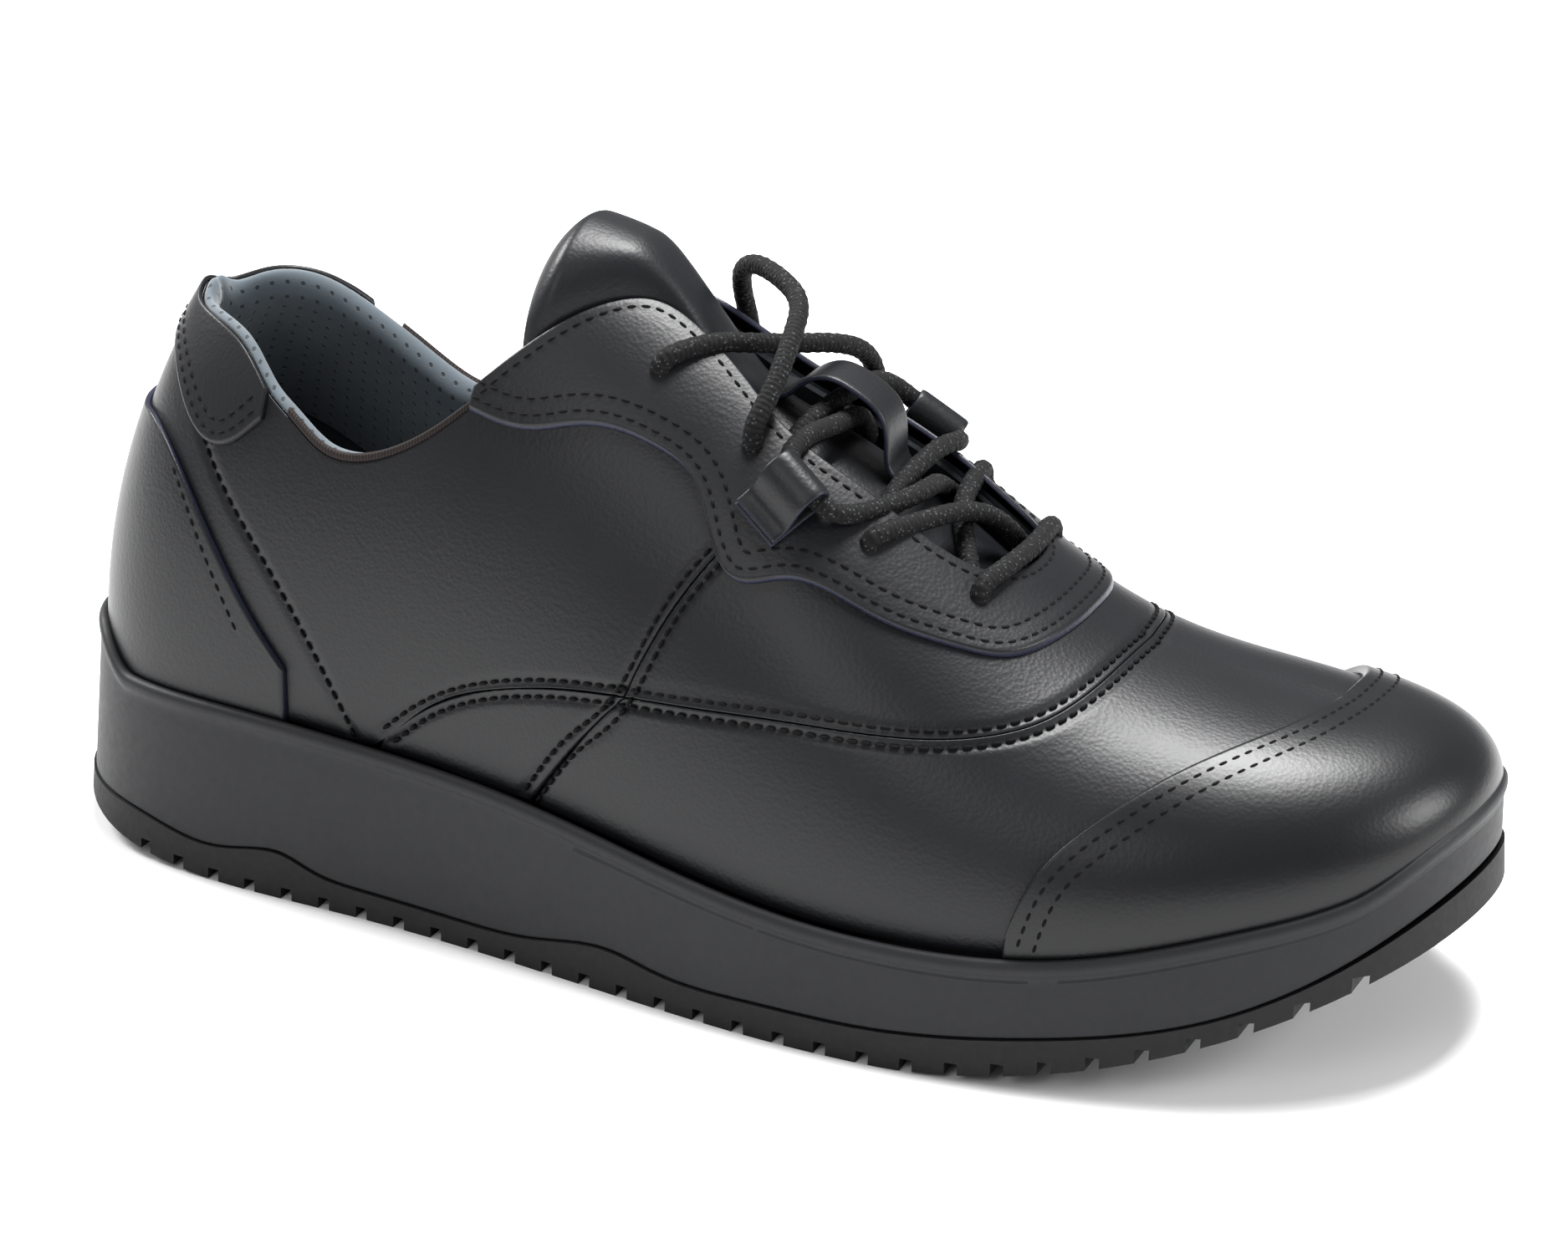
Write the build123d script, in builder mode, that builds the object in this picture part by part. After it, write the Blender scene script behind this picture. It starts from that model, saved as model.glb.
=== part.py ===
"""A lace-up bowling shoe for the right foot, in millimetres.

The frame: +X runs to the toe, -Y to the outer (lateral) side, +Z up.  The origin is on the floor under
the middle of the shoe.  The upper is built in layers over one surface, the last: a point of the last is
named by its place (xi, eta) in a flat plan of the foot, and by t, its height above the leather's outer face.
"""
from build123d import *
from math import acos, cos, exp, hypot, pi, sin, tan
import numpy as np
import os

# ---------------------------------------------------------------- driving dimensions
last_length = 293.0          # heel to toe along the feather line, where the upper meets the sole
ball_width = 102.0           # feather line across the ball of the foot
instep_height = 133.0        # top of the instep above the floor
leather = 1.4                # thickness of one leather layer
gap = 0.15                   # air between two layers of the upper
foam = 4.0                   # collar padding
lace_diameter = 4.0
eyelet_diameter = 5.4
sole_flare = 5.6             # how far the sole stands out beyond the feather line at the floor
sole_draft = 3.6             # degrees that the side wall of the sole leans in
tread_depth = 2.4
shank_length = 96.0

grade_x = last_length / 293.0
grade_y = ball_width / 102.0
grade_z = instep_height / 133.0


# ---------------------------------------------------------------- the last
def cubic(stations, values, closed=False):
    """The natural (or closed) cubic spline through values at stations, as a function."""
    xs = np.asarray(stations, float)
    ys = np.asarray(values, float)
    count = len(xs)
    step = np.diff(xs)
    slope = (np.diff(ys, axis=0).T / step).T
    system = np.zeros((count, count))
    right = np.zeros_like(ys)
    for i in range(1, count - 1):
        system[i, i - 1:i + 2] = step[i - 1], 2 * (step[i - 1] + step[i]), step[i]
        right[i] = 6 * (slope[i] - slope[i - 1])
    if closed:
        system[0, [0, -1]] = 1, -1
        system[-1, [0, 1, -2, -1]] = 2 * step[0], step[0], step[-1], 2 * step[-1]
        right[-1] = 6 * (slope[0] - slope[-1])
    else:
        system[0, 0] = system[-1, -1] = 1
    bend = np.linalg.solve(system, right)

    def value(x):
        if closed:
            x = xs[0] + (x - xs[0]) % (xs[-1] - xs[0])
        i = int(np.clip(np.searchsorted(xs, x, side="right") - 1, 0, count - 2))
        h, a, b = step[i], x - xs[i], xs[i + 1] - x
        return ((bend[i] * b**3 + bend[i + 1] * a**3) / (6 * h)
                + (ys[i] / h - bend[i] * h / 6) * b + (ys[i + 1] / h - bend[i + 1] * h / 6) * a)

    return value


def scaled(pairs):
    """Plan points drawn for the base size, graded to this size."""
    return [(x * grade_x, y * grade_y) for x, y in pairs]


FEATHER_PLAN = scaled([(-147, 0), (-137.5, -20.5), (-114, -30.5), (-70, -35.5), (-20, -44), (35, -53), (80, -50.5),
                       (115, -39.5), (138, -20), (146, 6), (138, 31), (112, 47), (75, 50.5), (40, 46), (0, 36),
                       (-40, 32), (-80, 32), (-118, 31), (-139, 19), (-147, 0)])
TOE_INDEX = 9
run = np.r_[0, np.cumsum(np.hypot(*np.diff(np.array(FEATHER_PLAN), axis=0).T))]
arc = np.where(np.arange(len(run)) <= TOE_INDEX, 0.5 * run / run[TOE_INDEX],
               0.5 + 0.5 * (run - run[TOE_INDEX]) / (run[-1] - run[TOE_INDEX]))
outline = cubic(arc, FEATHER_PLAN, closed=True)      # 0 heel, 0.25 outer side, 0.5 toe tip, 0.75 inner side


def along_x(stations, heights):
    """A height that depends on x only, graded to this size."""
    return cubic([x * grade_x for x in stations], [z * grade_z for z in heights])


feather_z = along_x([-150, -125, -100, -70, -40, -10, 20, 50, 85, 115, 135, 150],
                    [37, 37, 37, 35.5, 33.5, 29.5, 25.5, 24, 26.5, 34, 40, 48])
ridge_z = along_x([-125, -100, -60, -30, 0, 20, 45, 75, 100, 125], [130, 134, 137, 133, 120, 110, 92, 73, 66, 61])
ridge_y = cubic([x * grade_x for x in (-125, -60, 0, 60, 125)], [y * grade_y for y in (0, -1, -2, 2, 7)])
AROUND = [0, .06, .13, .22, .32, .42, .5, .58, .68, .78, .87, .94, 1]
fullness = cubic(AROUND, [1.9, 1.5, 1.1, 1.1, .95, .8, .75, .9, 1.0, .84, 1.1, 1.5, 1.9], closed=True)
bulge = cubic(AROUND, [1, 2, 3.5, 2.5, 3, 3, 2.5, 2, 2, 3, 3.5, 2, 1], closed=True)


def plan_normal(s):
    """Unit vector that points out of the feather line."""
    (x0, y0), (x1, y1) = outline(s - 1e-4), outline(s + 1e-4)
    size = hypot(x1 - x0, y1 - y0)
    return np.array([(y1 - y0) / size, -(x1 - x0) / size])


def spine_x(x):
    """Where on the ridge the rib that starts at x ends; the ridge is shorter than the foot."""
    half = 145.5 * grade_x
    q = x / half
    return half * q / (1 + abs(q)**3)**(1 / 3)


def rib(s, v, t):
    """The point of the last at height fraction v on the rib that rises from outline(s), t above the leather."""
    start = outline(s)
    normal = plan_normal(s)
    top_x = spine_x(start[0])
    top = np.array([top_x, ridge_y(top_x)])
    angle = v * pi / 2
    inward = 1 - max(cos(angle), 0)**fullness(s)
    swell = bulge(s) * sin(2 * angle) * cos(angle)
    plan = start + normal * (t + swell) + inward * (top - start - normal * t)
    low = feather_z(start[0])
    return Vector(plan[0], plan[1], low + sin(angle) * (ridge_z(top_x) + t - low))


def locate(xi, eta):
    """The rib and height fraction (s, v) of a place in the flat plan."""
    nearest = min(max(xi, spine_x(outline(0)[0])), spine_x(outline(0.5)[0]))
    low, high = (0.0, 0.5) if eta < ridge_y(nearest) else (0.5, 1.0)
    for _ in range(40):
        s = (low + high) / 2
        x, y = outline(s)
        top_x = spine_x(x)
        if (top_x - x) * (eta - y) < (ridge_y(top_x) - y) * (xi - x):
            low = s
        else:
            high = s
    toward = np.array([top_x - x, ridge_y(top_x) - y])
    return s, float(np.dot((xi - x, eta - y), toward) / np.dot(toward, toward))


def on_last(xi, eta, t=0.0):
    """The point of the last over the plan place (xi, eta), t above the leather's outer face."""
    s, v = locate(xi, eta)
    return rib(s, v, t)


def normal_at(xi, eta):
    """Outward unit normal of the last."""
    along = on_last(xi + 0.5, eta) - on_last(xi - 0.5, eta)
    across = on_last(xi, eta + 0.5) - on_last(xi, eta - 0.5)
    return along.cross(across).normalized()


# ---------------------------------------------------------------- lines drawn on the last
def through(points):
    """A smooth line through graded plan points, as a function of its length fraction 0..1."""
    lengths = np.r_[0, np.cumsum([hypot(b[0] - a[0], b[1] - a[1]) for a, b in zip(points, points[1:])])]
    return cubic(lengths / lengths[-1], points)


def line(*pairs):
    return through(scaled(pairs))


def stretch(curve, first, last):
    """The part of a line between two of its fractions; it runs backwards when first > last."""
    return lambda u: curve(first + (last - first) * u)


def joined(before, after):
    """Two lines end to end."""
    return lambda u: before(2 * u) if u < 0.5 else after(2 * u - 1)


topline_outer = line((-127.5, -0.4), (-125, -6), (-118, -10.5), (-107, -14), (-98.5, -17.2), (-93, -18.7),
                     (-84.5, -20.7), (-77.5, -21.3), (-67, -21), (-58, -19.9), (-53.5, -19))
topline_inner = line((-127.5, 0.4), (-125, 6), (-118, 9.5), (-107, 12.8), (-98, 16), (-89, 18.4), (-80, 19.8),
                     (-67, 19.8), (-58, 19), (-53.5, 18))
seam_outer = line((-72, -35.3), (-61, -34.3), (-41, -34.6), (-12.5, -36.6), (16, -37), (46, -32), (61, -25.5),
                  (70, -18.5), (76, -8), (78.5, 4))
seam_inner = line((-72, 32.1), (-61, 29.5), (-41, 27.5), (-12.5, 28.5), (16, 30.5), (46, 30), (61, 26.5),
                  (70, 21), (76, 13), (78.5, 4))
CROSSING_OUTER = 0.3495      # where the second seam crosses the first, as fractions of the first
CROSSING_INNER = 0.366
eyestay_low = line((-53.4, -19), (-38.3, -20.5), (-28, -19.9), (-12, -20.1), (-2.7, -22), (3.2, -25.9),
                   (7, -27.3), (18.2, -25.5), (36.6, -23.1), (51.9, -18.8), (60.8, -14.3), (66.5, -6), (68, 2.5),
                   (66.5, 10), (61, 16.5), (52, 19.8), (37, 22.6), (18, 24.3), (7, 25), (3, 23.8), (-3, 20),
                   (-12, 18), (-28, 17.6), (-38, 18.2), (-53.4, 18))
eyestay_high = line((-52.8, -17.8), (-45, -15.4), (-28.8, -9.1), (-21.7, -6.8), (-12.2, -7.3), (-6, -8.5),
                    (10.4, -12.5), (29.3, -12.1), (45, -9.8), (52, -6.5), (55, -2), (55.5, 1.6), (54.5, 5),
                    (51.5, 7.8), (44, 9.4), (29, 10.6), (10, 10), (-6, 7.8), (-12, 6.6), (-21.7, 6.2), (-28.8, 8.2),
                    (-45, 14.6), (-52.8, 16.8))
collar_low = line((-60, -24), (-75, -26.5), (-90, -25.5), (-105, -23), (-120, -17), (-131, -10), (-136, 0),
                  (-131, 10), (-120, 16.5), (-105, 22), (-90, 24.5), (-75, 25), (-60, 23))
throat_front = line((6, -11.8), (29.3, -12.1), (45, -9.8), (52, -6.5), (55, -2), (55.5, 1.6), (54.5, 5),
                    (51.5, 7.8), (44, 9.4), (29, 10.6), (6, 9.8))


# ---------------------------------------------------------------- layers
OVERLAY = (gap, gap + leather)
BASE = (-leather, 0)
STIFFENER = (-leather - gap - 1.1, -leather - gap)
LINING = (STIFFENER[0] - gap - 1.0, STIFFENER[0] - gap)


def steady(height):
    """A layer height that is the same everywhere."""
    return lambda xi, eta, u, w: height


CLOSE_FIT = dict(tol=0.05, min_deg=3, max_deg=3)
EVEN_FIT = dict(smoothing=(1, 1, 1), min_deg=3, max_deg=6)


def sheet(low, high, bottom, top, rows=(0, 1), margin=0.12, counts=(26, 9), fit=EVEN_FIT):
    """A curved leather or foam sheet between two lines drawn on the last.

    The sheet's grid runs with u along the lines and with w from low to high.  Its two faces are smooth
    surfaces at the layer heights bottom and top, its four edges are ruled between them, and a small
    margin all round keeps it clear of the sheet that it is sewn to.
    """
    bottom = bottom if callable(bottom) else steady(bottom)
    top = top if callable(top) else steady(top)
    under, over = [], []
    for u in np.linspace(0.002, 0.998, counts[0]):
        start, end = np.array(low(u)), np.array(high(u))
        width = max(np.linalg.norm(end - start), 4 * margin)
        first = rows[0] + margin / width
        last = rows[1] - margin / width
        under.append([])
        over.append([])
        for w in np.linspace(first, last, counts[1]):
            xi, eta = start + (end - start) * w
            s, v = locate(xi, eta)
            under[-1].append(rib(s, max(v, 0), bottom(xi, eta, u, w)))
            over[-1].append(rib(s, max(v, 0), top(xi, eta, u, w)))
    faces = [Face.make_surface_from_array_of_points(points, **fit) for points in (under, over)]
    walls = [Face.make_surface_from_curves(a, b) for a, b in zip(faces[0].edges(), faces[1].edges())]
    return Solid(Shell(faces + walls))


def drill(places, diameter, depth=14):
    """Round holes square to the last at plan places, cut out of the part being built."""
    for xi, eta in scaled(places):
        with Locations(Plane(origin=on_last(xi, eta), z_dir=normal_at(xi, eta))):
            Cylinder(radius=diameter / 2, height=depth, mode=Mode.SUBTRACT)


os.makedirs("parts", exist_ok=True)
finished = []


def finish(builder, label):
    """Label a finished piece and write it."""
    builder.part.label = label
    export_step(builder.part, f"parts/{label}.step")
    finished.append((label, builder.part.volume, len(builder.part.solids())))


# ---------------------------------------------------------------- leather panels of the base layer
EYELETS_OUTER = [(-16.6, -13.7), (5.2, -16.4), (30, -17.2), (51.3, -12)]
EYELETS_INNER = [(-15, 12.2), (11.5, 13.6), (34.9, 15.2), (52, 12.4)]
EYELETS = EYELETS_OUTER + EYELETS_INNER

vamp_top = joined(stretch(seam_outer, CROSSING_OUTER, 1), stretch(seam_inner, 1, CROSSING_INNER))
with BuildPart() as vamp:
    add(sheet(stretch(outline, 0.1905, 0.807), vamp_top, *BASE, counts=(90, 26)))
finish(vamp, "vamp")

saddle_top = line((7.5, -23.5), (18, -21.5), (36.5, -19.3), (50.5, -16.8), (58, -11.5), (62.5, -4), (63.5, 2.5),
                  (62.5, 8), (58, 13.4), (50.5, 16.8), (36.5, 19.6), (18, 21.2), (7.5, 22.2))
with BuildPart() as saddle_panel:
    add(sheet(vamp_top, saddle_top, *BASE, counts=(50, 9)))
    drill(EYELETS, eyelet_diameter)
finish(saddle_panel, "saddle_panel")

QUARTERS = {
    "lateral": dict(
        low=through([outline(s) for s in (.003, .02, .045, .075, .105, .1335)]
                    + scaled([(-61, -34.3), (-41, -34.6), (-12.5, -36.6)])),
        high=line((-127.5, -0.4), (-125, -6), (-118, -10.5), (-107, -14), (-98.5, -17.2), (-93, -18.7),
                  (-84.5, -20.7), (-77.5, -21.3), (-67, -21), (-58, -19.9), (-53.5, -19), (-47, -17.6), (-38, -16.4),
                  (-28, -16.2), (-12, -17.6), (-3, -19.6), (6.6, -23.8)),
        below=(stretch(outline, .1365, .1885), stretch(seam_outer, .02, CROSSING_OUTER)),
        lining=(stretch(outline, .004, .232),
                line((-136, -0.4), (-131, -10), (-120, -17), (-105, -23), (-90, -25.5), (-75, -26.5), (-62, -24.6),
                     (-55, -20.5), (-45, -16), (-28.8, -9.8), (-21.7, -7.6), (-12.2, -8), (-6, -9), (5, -12)))),
    "medial": dict(
        low=through([outline(s) for s in (.997, .98, .955, .925, .895, .8645)]
                    + scaled([(-61, 29.5), (-41, 27.5), (-12.5, 28.5)])),
        high=line((-127.5, 0.4), (-125, 6), (-118, 9.5), (-107, 12.8), (-98, 16), (-89, 18.4), (-80, 19.8),
                  (-67, 19.8), (-58, 19), (-53.5, 18), (-47, 16.6), (-38, 15.4), (-28, 14.8), (-12, 15.6), (-3, 17.4),
                  (6.6, 22.2)),
        below=(stretch(outline, .8615, .809), stretch(seam_inner, .02, CROSSING_INNER)),
        lining=(stretch(outline, .996, .763),
                line((-136, 0.4), (-131, 10), (-120, 16.5), (-105, 22), (-90, 24.5), (-75, 25), (-62, 23.4),
                     (-55, 19.5), (-45, 15.2), (-28.8, 8.8), (-21.7, 6.9), (-12, 7.2), (-6, 8.3), (5, 9.8)))),
}
for side, cut in QUARTERS.items():
    holes = [place for place in EYELETS if (place[1] < 0) == (side == "lateral")]
    with BuildPart() as quarter:
        add(sheet(cut["low"], cut["high"], *BASE, counts=(50, 12)))
        drill(holes[:2], eyelet_diameter)
    finish(quarter, f"quarter_{side}")
    with BuildPart() as lower_quarter:
        add(sheet(*cut["below"], *BASE, counts=(16, 7)))
    finish(lower_quarter, f"lower_quarter_{side}")
    with BuildPart() as quarter_lining:
        add(sheet(*cut["lining"], *LINING, counts=(50, 12)))
        drill(holes[:2], eyelet_diameter)
    finish(quarter_lining, f"quarter_lining_{side}")

# ---------------------------------------------------------------- overlays
cap_edge = line((70.5, -49.3), (73.5, -41.5), (76.3, -36.9), (83.7, -28.5), (92.3, -19.4), (103.6, -8), (110.5, 0.5),
                (113.5, 8), (110.6, 18), (103, 29), (94, 37.5), (85, 43.5), (78, 47.8))
with BuildPart() as toe_cap:
    add(sheet(stretch(outline, .346, .638), cap_edge, *OVERLAY, counts=(44, 12), fit=CLOSE_FIT))
finish(toe_cap, "toe_cap")

with BuildPart() as eyestay:
    add(sheet(eyestay_low, eyestay_high, *OVERLAY, counts=(80, 7)))
    drill(EYELETS, eyelet_diameter)
finish(eyestay, "eyestay")

with BuildPart() as eyestay_reinforcement:
    add(sheet(eyestay_low, eyestay_high, *STIFFENER, rows=(0.25, 0.94), counts=(80, 7)))
    drill(EYELETS, eyelet_diameter)
finish(eyestay_reinforcement, "eyestay_reinforcement")

counter_edge = line((-91.5, 28.7), (-99, 26.5), (-107, 23.5), (-117, 18.5), (-126.6, 13), (-133, 7), (-135, 0),
                    (-133, -7), (-126.6, -13.5), (-117, -19.3), (-107, -24.5), (-99, -28.2), (-91.5, -31))
with BuildPart() as heel_counter_cover:
    add(sheet(stretch(outline, -.107, .104), counter_edge, *OVERLAY, counts=(40, 9)))
finish(heel_counter_cover, "heel_counter_cover")

tab_low = line((-98.7, 17.4), (-105, 18.6), (-112.8, 17.8), (-119, 15), (-123.4, 11.8), (-129, 6), (-131, 0),
               (-129, -6), (-123.4, -12.3), (-119, -15.5), (-112.8, -18.4), (-105, -19.4), (-98.7, -18.6))
tab_high = line((-98.5, 15.8), (-107, 12.8), (-118, 9.5), (-125, 6), (-127.5, 0), (-125, -6), (-118, -10.5),
                (-107, -14), (-98.5, -17.2))
with BuildPart() as collar_tab:
    add(sheet(tab_low, tab_high, *OVERLAY, counts=(40, 6)))
finish(collar_tab, "collar_tab")

# ---------------------------------------------------------------- stiffeners, padding and lining
with BuildPart() as toe_puff:
    add(sheet(stretch(outline, .385, .612), line((100, -27), (107, -14), (111, -2), (112, 8), (109, 21), (102, 33)),
              *STIFFENER, counts=(30, 9)))
finish(toe_puff, "toe_puff")

counter_top = line((-87, 27.5), (-100, 25.8), (-115, 20.4), (-130, 11), (-136.6, 0), (-130, -12), (-115, -21.2),
                   (-100, -27.4), (-87, -30.5))
with BuildPart() as heel_counter:
    add(sheet(stretch(outline, -.112, .11), counter_top, *STIFFENER, counts=(40, 9)))
finish(heel_counter, "heel_counter")


def padding(xi, eta, u, w):
    """Thickness of the collar padding: full at the rim, thin at its lower edge, fading out to the front."""
    fade = min(1, 6 * u, 6 * (1 - u))
    return 1.1 + (foam - 1.1) * w * fade


topline_round = joined(stretch(topline_outer, 0.93, 0), stretch(topline_inner, 0, 0.93))
with BuildPart() as collar_foam:
    add(sheet(collar_low, topline_round, lambda *at: -leather - gap - padding(*at), -leather - gap,
              rows=(0.18, 0.97), counts=(60, 8)))
finish(collar_foam, "collar_foam")

with BuildPart() as collar_lining:
    add(sheet(collar_low, topline_round, lambda *at: -leather - 2 * gap - 1.0 - padding(*at),
              lambda *at: -leather - 2 * gap - padding(*at), rows=(0.02, 1), counts=(60, 8)))
finish(collar_lining, "collar_lining")

BINDING = {"lateral": (topline_outer, 0.52, 1), "medial": (topline_inner, 0.52, -1)}
for side, (topline, first, toward_ridge) in BINDING.items():
    def lifted(amount):
        return lambda u: np.array(topline(first + (1 - first) * u)) + np.array([0, toward_ridge * amount])
    with BuildPart() as binding:
        add(sheet(lifted(0.25), lifted(1.7), -leather - gap - 2.4, 0, counts=(24, 5)))
    finish(binding, f"topline_binding_{side}")

with BuildPart() as vamp_lining:
    add(sheet(stretch(outline, .236, .759), throat_front, *LINING, counts=(50, 12)))
    drill(EYELETS_OUTER[2:] + EYELETS_INNER[2:] + [EYELETS_OUTER[1], EYELETS_INNER[1]], eyelet_diameter)
finish(vamp_lining, "vamp_lining")

# ---------------------------------------------------------------- lace
# x, y, z and bend radius of the lace's centre line, chosen by hand for the base size
ROUTE = [
    # the end tucked inside on the outer side, up to the first eyelet
    (100, -29, 48.5, 12), (70, -40.5, 44.5, 20), (36.5, -42.5, 49, 25), (9, -38, 64, 20), (-8, -31.5, 85, 14),
    (-16.3, -16.8, 113.4, 2.6), (-17, -21.5, 122, 2.6),
    # over the tongue to the second inner eyelet
    (-9.5, -12, 124, 8), (-3.3, -5, 122.5, 10), (3, 1, 121.5, 10), (8.5, 9.5, 120, 9), (11, 19, 116, 6),
    (11.2, 25.8, 108.5, 2.6), (12, 20.8, 95.5, 2.6),
    # back under the inner edge, through the keeper, to the outer loop
    (13.5, 14.5, 101.5, 5), (16.8, 2, 108.8, 7), (15.8, -6, 109.2, 7), (13.5, -18, 110.2, 6),
    (12.6, -26.8, 107.6, 3.5), (23.2, -31.2, 100.6, 3.5),
    # over the tongue and under the inner edge to the fourth inner eyelet
    (27.5, -26, 98.4, 6), (33, -14, 98.6, 9), (34.2, -3, 98, 9), (32.2, 6, 95.5, 8), (32.2, 14.5, 90.5, 5),
    (35.4, 21.5, 83.5, 2.6), (34.6, 26.5, 92.5, 2.6),
    # under the outer edge to the front outer eyelet
    (36, 17.5, 94, 6), (37.5, 5, 92, 8), (41, -2, 89.2, 8), (45.5, -10, 84.6, 7), (51.4, -18.4, 77.1, 2.6),
    # the front bar, outside
    (51.6, -22.5, 86.6, 2.6), (54, -12, 87.6, 8), (54.5, 4, 87.4, 8), (52, 19.8, 86.6, 2.6), (52.3, 16.8, 77.5, 2.6),
    # under the inner edge to the fourth outer eyelet
    (49.4, 11, 82.5, 5), (46, 5, 90.4, 6), (41.8, -3, 94.6, 8), (36.5, -19, 96, 8), (31, -29, 95.6, 2.6),
    (30.2, -23.5, 88, 2.6),
    # under the outer edge, over the tongue to the inner loop
    (28.1, -12.1, 96.4, 6), (28.8, 3, 99.4, 8), (30, 14, 100.5, 7), (30.4, 22.6, 98.4, 4), (28, 27.2, 97, 2.6),
    (18, 27, 104.4, 3.5),
    # through the keeper, under the outer edge to the second outer eyelet
    (15, 20, 110, 5), (13.9, 11, 112, 7), (12.2, 2, 110.9, 7), (10.9, -6, 110.2, 7), (8.7, -13.5, 106.4, 5),
    (5.5, -20.8, 101.7, 2.6), (4.8, -25.5, 111.5, 2.6),
    # over the first crossing to the first inner eyelet
    (7, -18.5, 119, 7), (6.6, -9, 126, 8), (4.2, 2, 130, 6), (-3.5, 9, 132, 8), (-12, 14.5, 132.5, 9),
    (-17.5, 20.5, 127, 6), (-15.6, 25, 112.5, 2.6), (-14.8, 19, 103, 2.6),
    # the end tucked inside on the inner side
    (-7.5, 26.5, 64, 14), (11.5, 30, 52, 20), (39.5, 36, 45.5, 25), (71, 38.5, 44.5, 20), (101, 32, 49, 12),
]
graded_route = [(Vector(x * grade_x, y * grade_y, z * grade_z), radius) for x, y, z, radius in ROUTE]


lace_gap = 0.4               # between the lace and the tongue under it


def lace_tube(radius):
    """A round tube along the lace's centre line: straight runs joined by tangent arcs."""
    radii = []
    with BuildPart() as tube:
        with BuildLine() as centre:
            here = graded_route[0][0]
            for (before, _), (corner, bend), (after, _) in zip(graded_route, graded_route[1:], graded_route[2:]):
                into = (corner - before).normalized()
                out = (after - corner).normalized()
                turn = acos(min(1, into.dot(out)))
                room = 0.48 * min((corner - before).length, (after - corner).length)
                reach = min(bend * tan(turn / 2), room)
                radii.append(round(reach / tan(turn / 2), 1))
                bow = reach / tan(turn / 2) * (1 / cos(turn / 2) - 1)
                Line(here, corner - into * reach)
                ThreePointArc(corner - into * reach, corner + (out - into).normalized() * bow, corner + out * reach)
                here = corner + out * reach
            Line(here, graded_route[-1][0])
        with BuildSketch(Plane(origin=centre.wire() @ 0, z_dir=centre.wire() % 0)):
            Circle(radius)
        sweep()
    return tube.part, centre.wire().length, radii


lace_volume, lace_length, lace_radii = lace_tube(lace_diameter / 2)
with BuildPart() as lace:
    add(lace_volume)
finish(lace, "lace")
print("lace centre line", round(lace_length, 1), "volume / section",
      round(lace.part.volume / (pi * lace_diameter**2 / 4), 1))
print("lace bend radii", lace_radii)
lace_room = lace_tube(lace_diameter / 2 + lace_gap)[0]

# ---------------------------------------------------------------- tongue
opening = cubic([x * grade_x for x in (-62, -45, -28.8, -21.7, -12, 0, 12, 40)], [21, 15.4, 7.8, 5.6, 6, 8, 9, 8])


def ease(x):
    """Smooth step from 0 to 1."""
    x = min(max(x, 0), 1)
    return x * x * (3 - 2 * x)


def tongue_face(xi, eta, u, w):
    """Height of the tongue's outer face: deep under the lacing, a broad pad between the eyestay's ends."""
    across = min(abs(eta - ridge_y(xi)) / opening(xi), 1)
    swell = 16.5 * ease((2 - xi / grade_x) / 42) - 5 * ease((-38 - xi / grade_x) / 5)
    return -leather - foam - 3.6 + swell * (1 - across**6)


def tongue_layer(upper, lower):
    return (lambda *at: tongue_face(*at) - lower), (lambda *at: tongue_face(*at) - upper)


tongue_outer_edge = line((61, -5), (45, -12), (20, -15.5), (-10, -15), (-34, -16.5), (-42.5, -14))
tongue_inner_edge = line((61, 8), (45, 13), (20, 15), (-10, 14), (-34, 15.6), (-42.5, 13.4))
tongue_swing = 1.5           # degrees that the laced tongue can be pushed in
tongue_hinge = Axis((62 * grade_x, 1.5 * grade_y, 72 * grade_z), (0, -1, 0))
# depths of each layer's two faces and its inset; the foam has more air, because the pad's sides are steep
TONGUE_LAYERS = {"tongue_outer": (0, 1.2, 0), "tongue_foam": (1.95, 5.05, 0.04), "tongue_lining": (5.75, 6.75, 0)}
for label, (upper, lower, inset) in TONGUE_LAYERS.items():
    with BuildPart() as tongue:
        add(sheet(tongue_outer_edge, tongue_inner_edge, *tongue_layer(upper, lower),
                  rows=(inset, 1 - inset), counts=(56, 31)))
        if upper == 0:
            for angle in (0, -tongue_swing / 2, -tongue_swing):
                add(lace_room.rotate(tongue_hinge, angle), mode=Mode.SUBTRACT)
    finish(tongue, label)

# ---------------------------------------------------------------- strap and loops that hold the lace
KEEPER_FEET = ((0.8, 0), (24, 0.6))
keeper_height = 11.0         # inside, above the tongue
keeper_width = 10.8
strap = 1.3
with BuildPart() as tongue_keeper:
    heel_foot = on_last(*scaled(KEEPER_FEET)[0], tongue_face(*scaled(KEEPER_FEET)[0], 0, 0) + gap)
    toe_foot = on_last(*scaled(KEEPER_FEET)[1], tongue_face(*scaled(KEEPER_FEET)[1], 0, 0) + gap)
    along = (toe_foot - heel_foot).normalized()
    span = (toe_foot - heel_foot).length
    side_plane = Plane(origin=heel_foot, x_dir=along, z_dir=along.cross(Vector(0, 1, 0)).cross(along) * -1)
    with BuildSketch(side_plane):
        with BuildLine():
            Polyline((-1, 0.2), (3, 0.2), (4.4, keeper_height), (span - 5.6, keeper_height), (span - 4, 0.2),
                     (span + 1, 0.2), (span + 1, 0.2 + strap), (span - 3, 0.2 + strap),
                     (span - 4.8, keeper_height + strap), (3.4, keeper_height + strap), (2, 0.2 + strap),
                     (-1, 0.2 + strap), close=True)
        make_face()
    extrude(amount=keeper_width / 2, both=True)
finish(tongue_keeper, "tongue_keeper")

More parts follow.
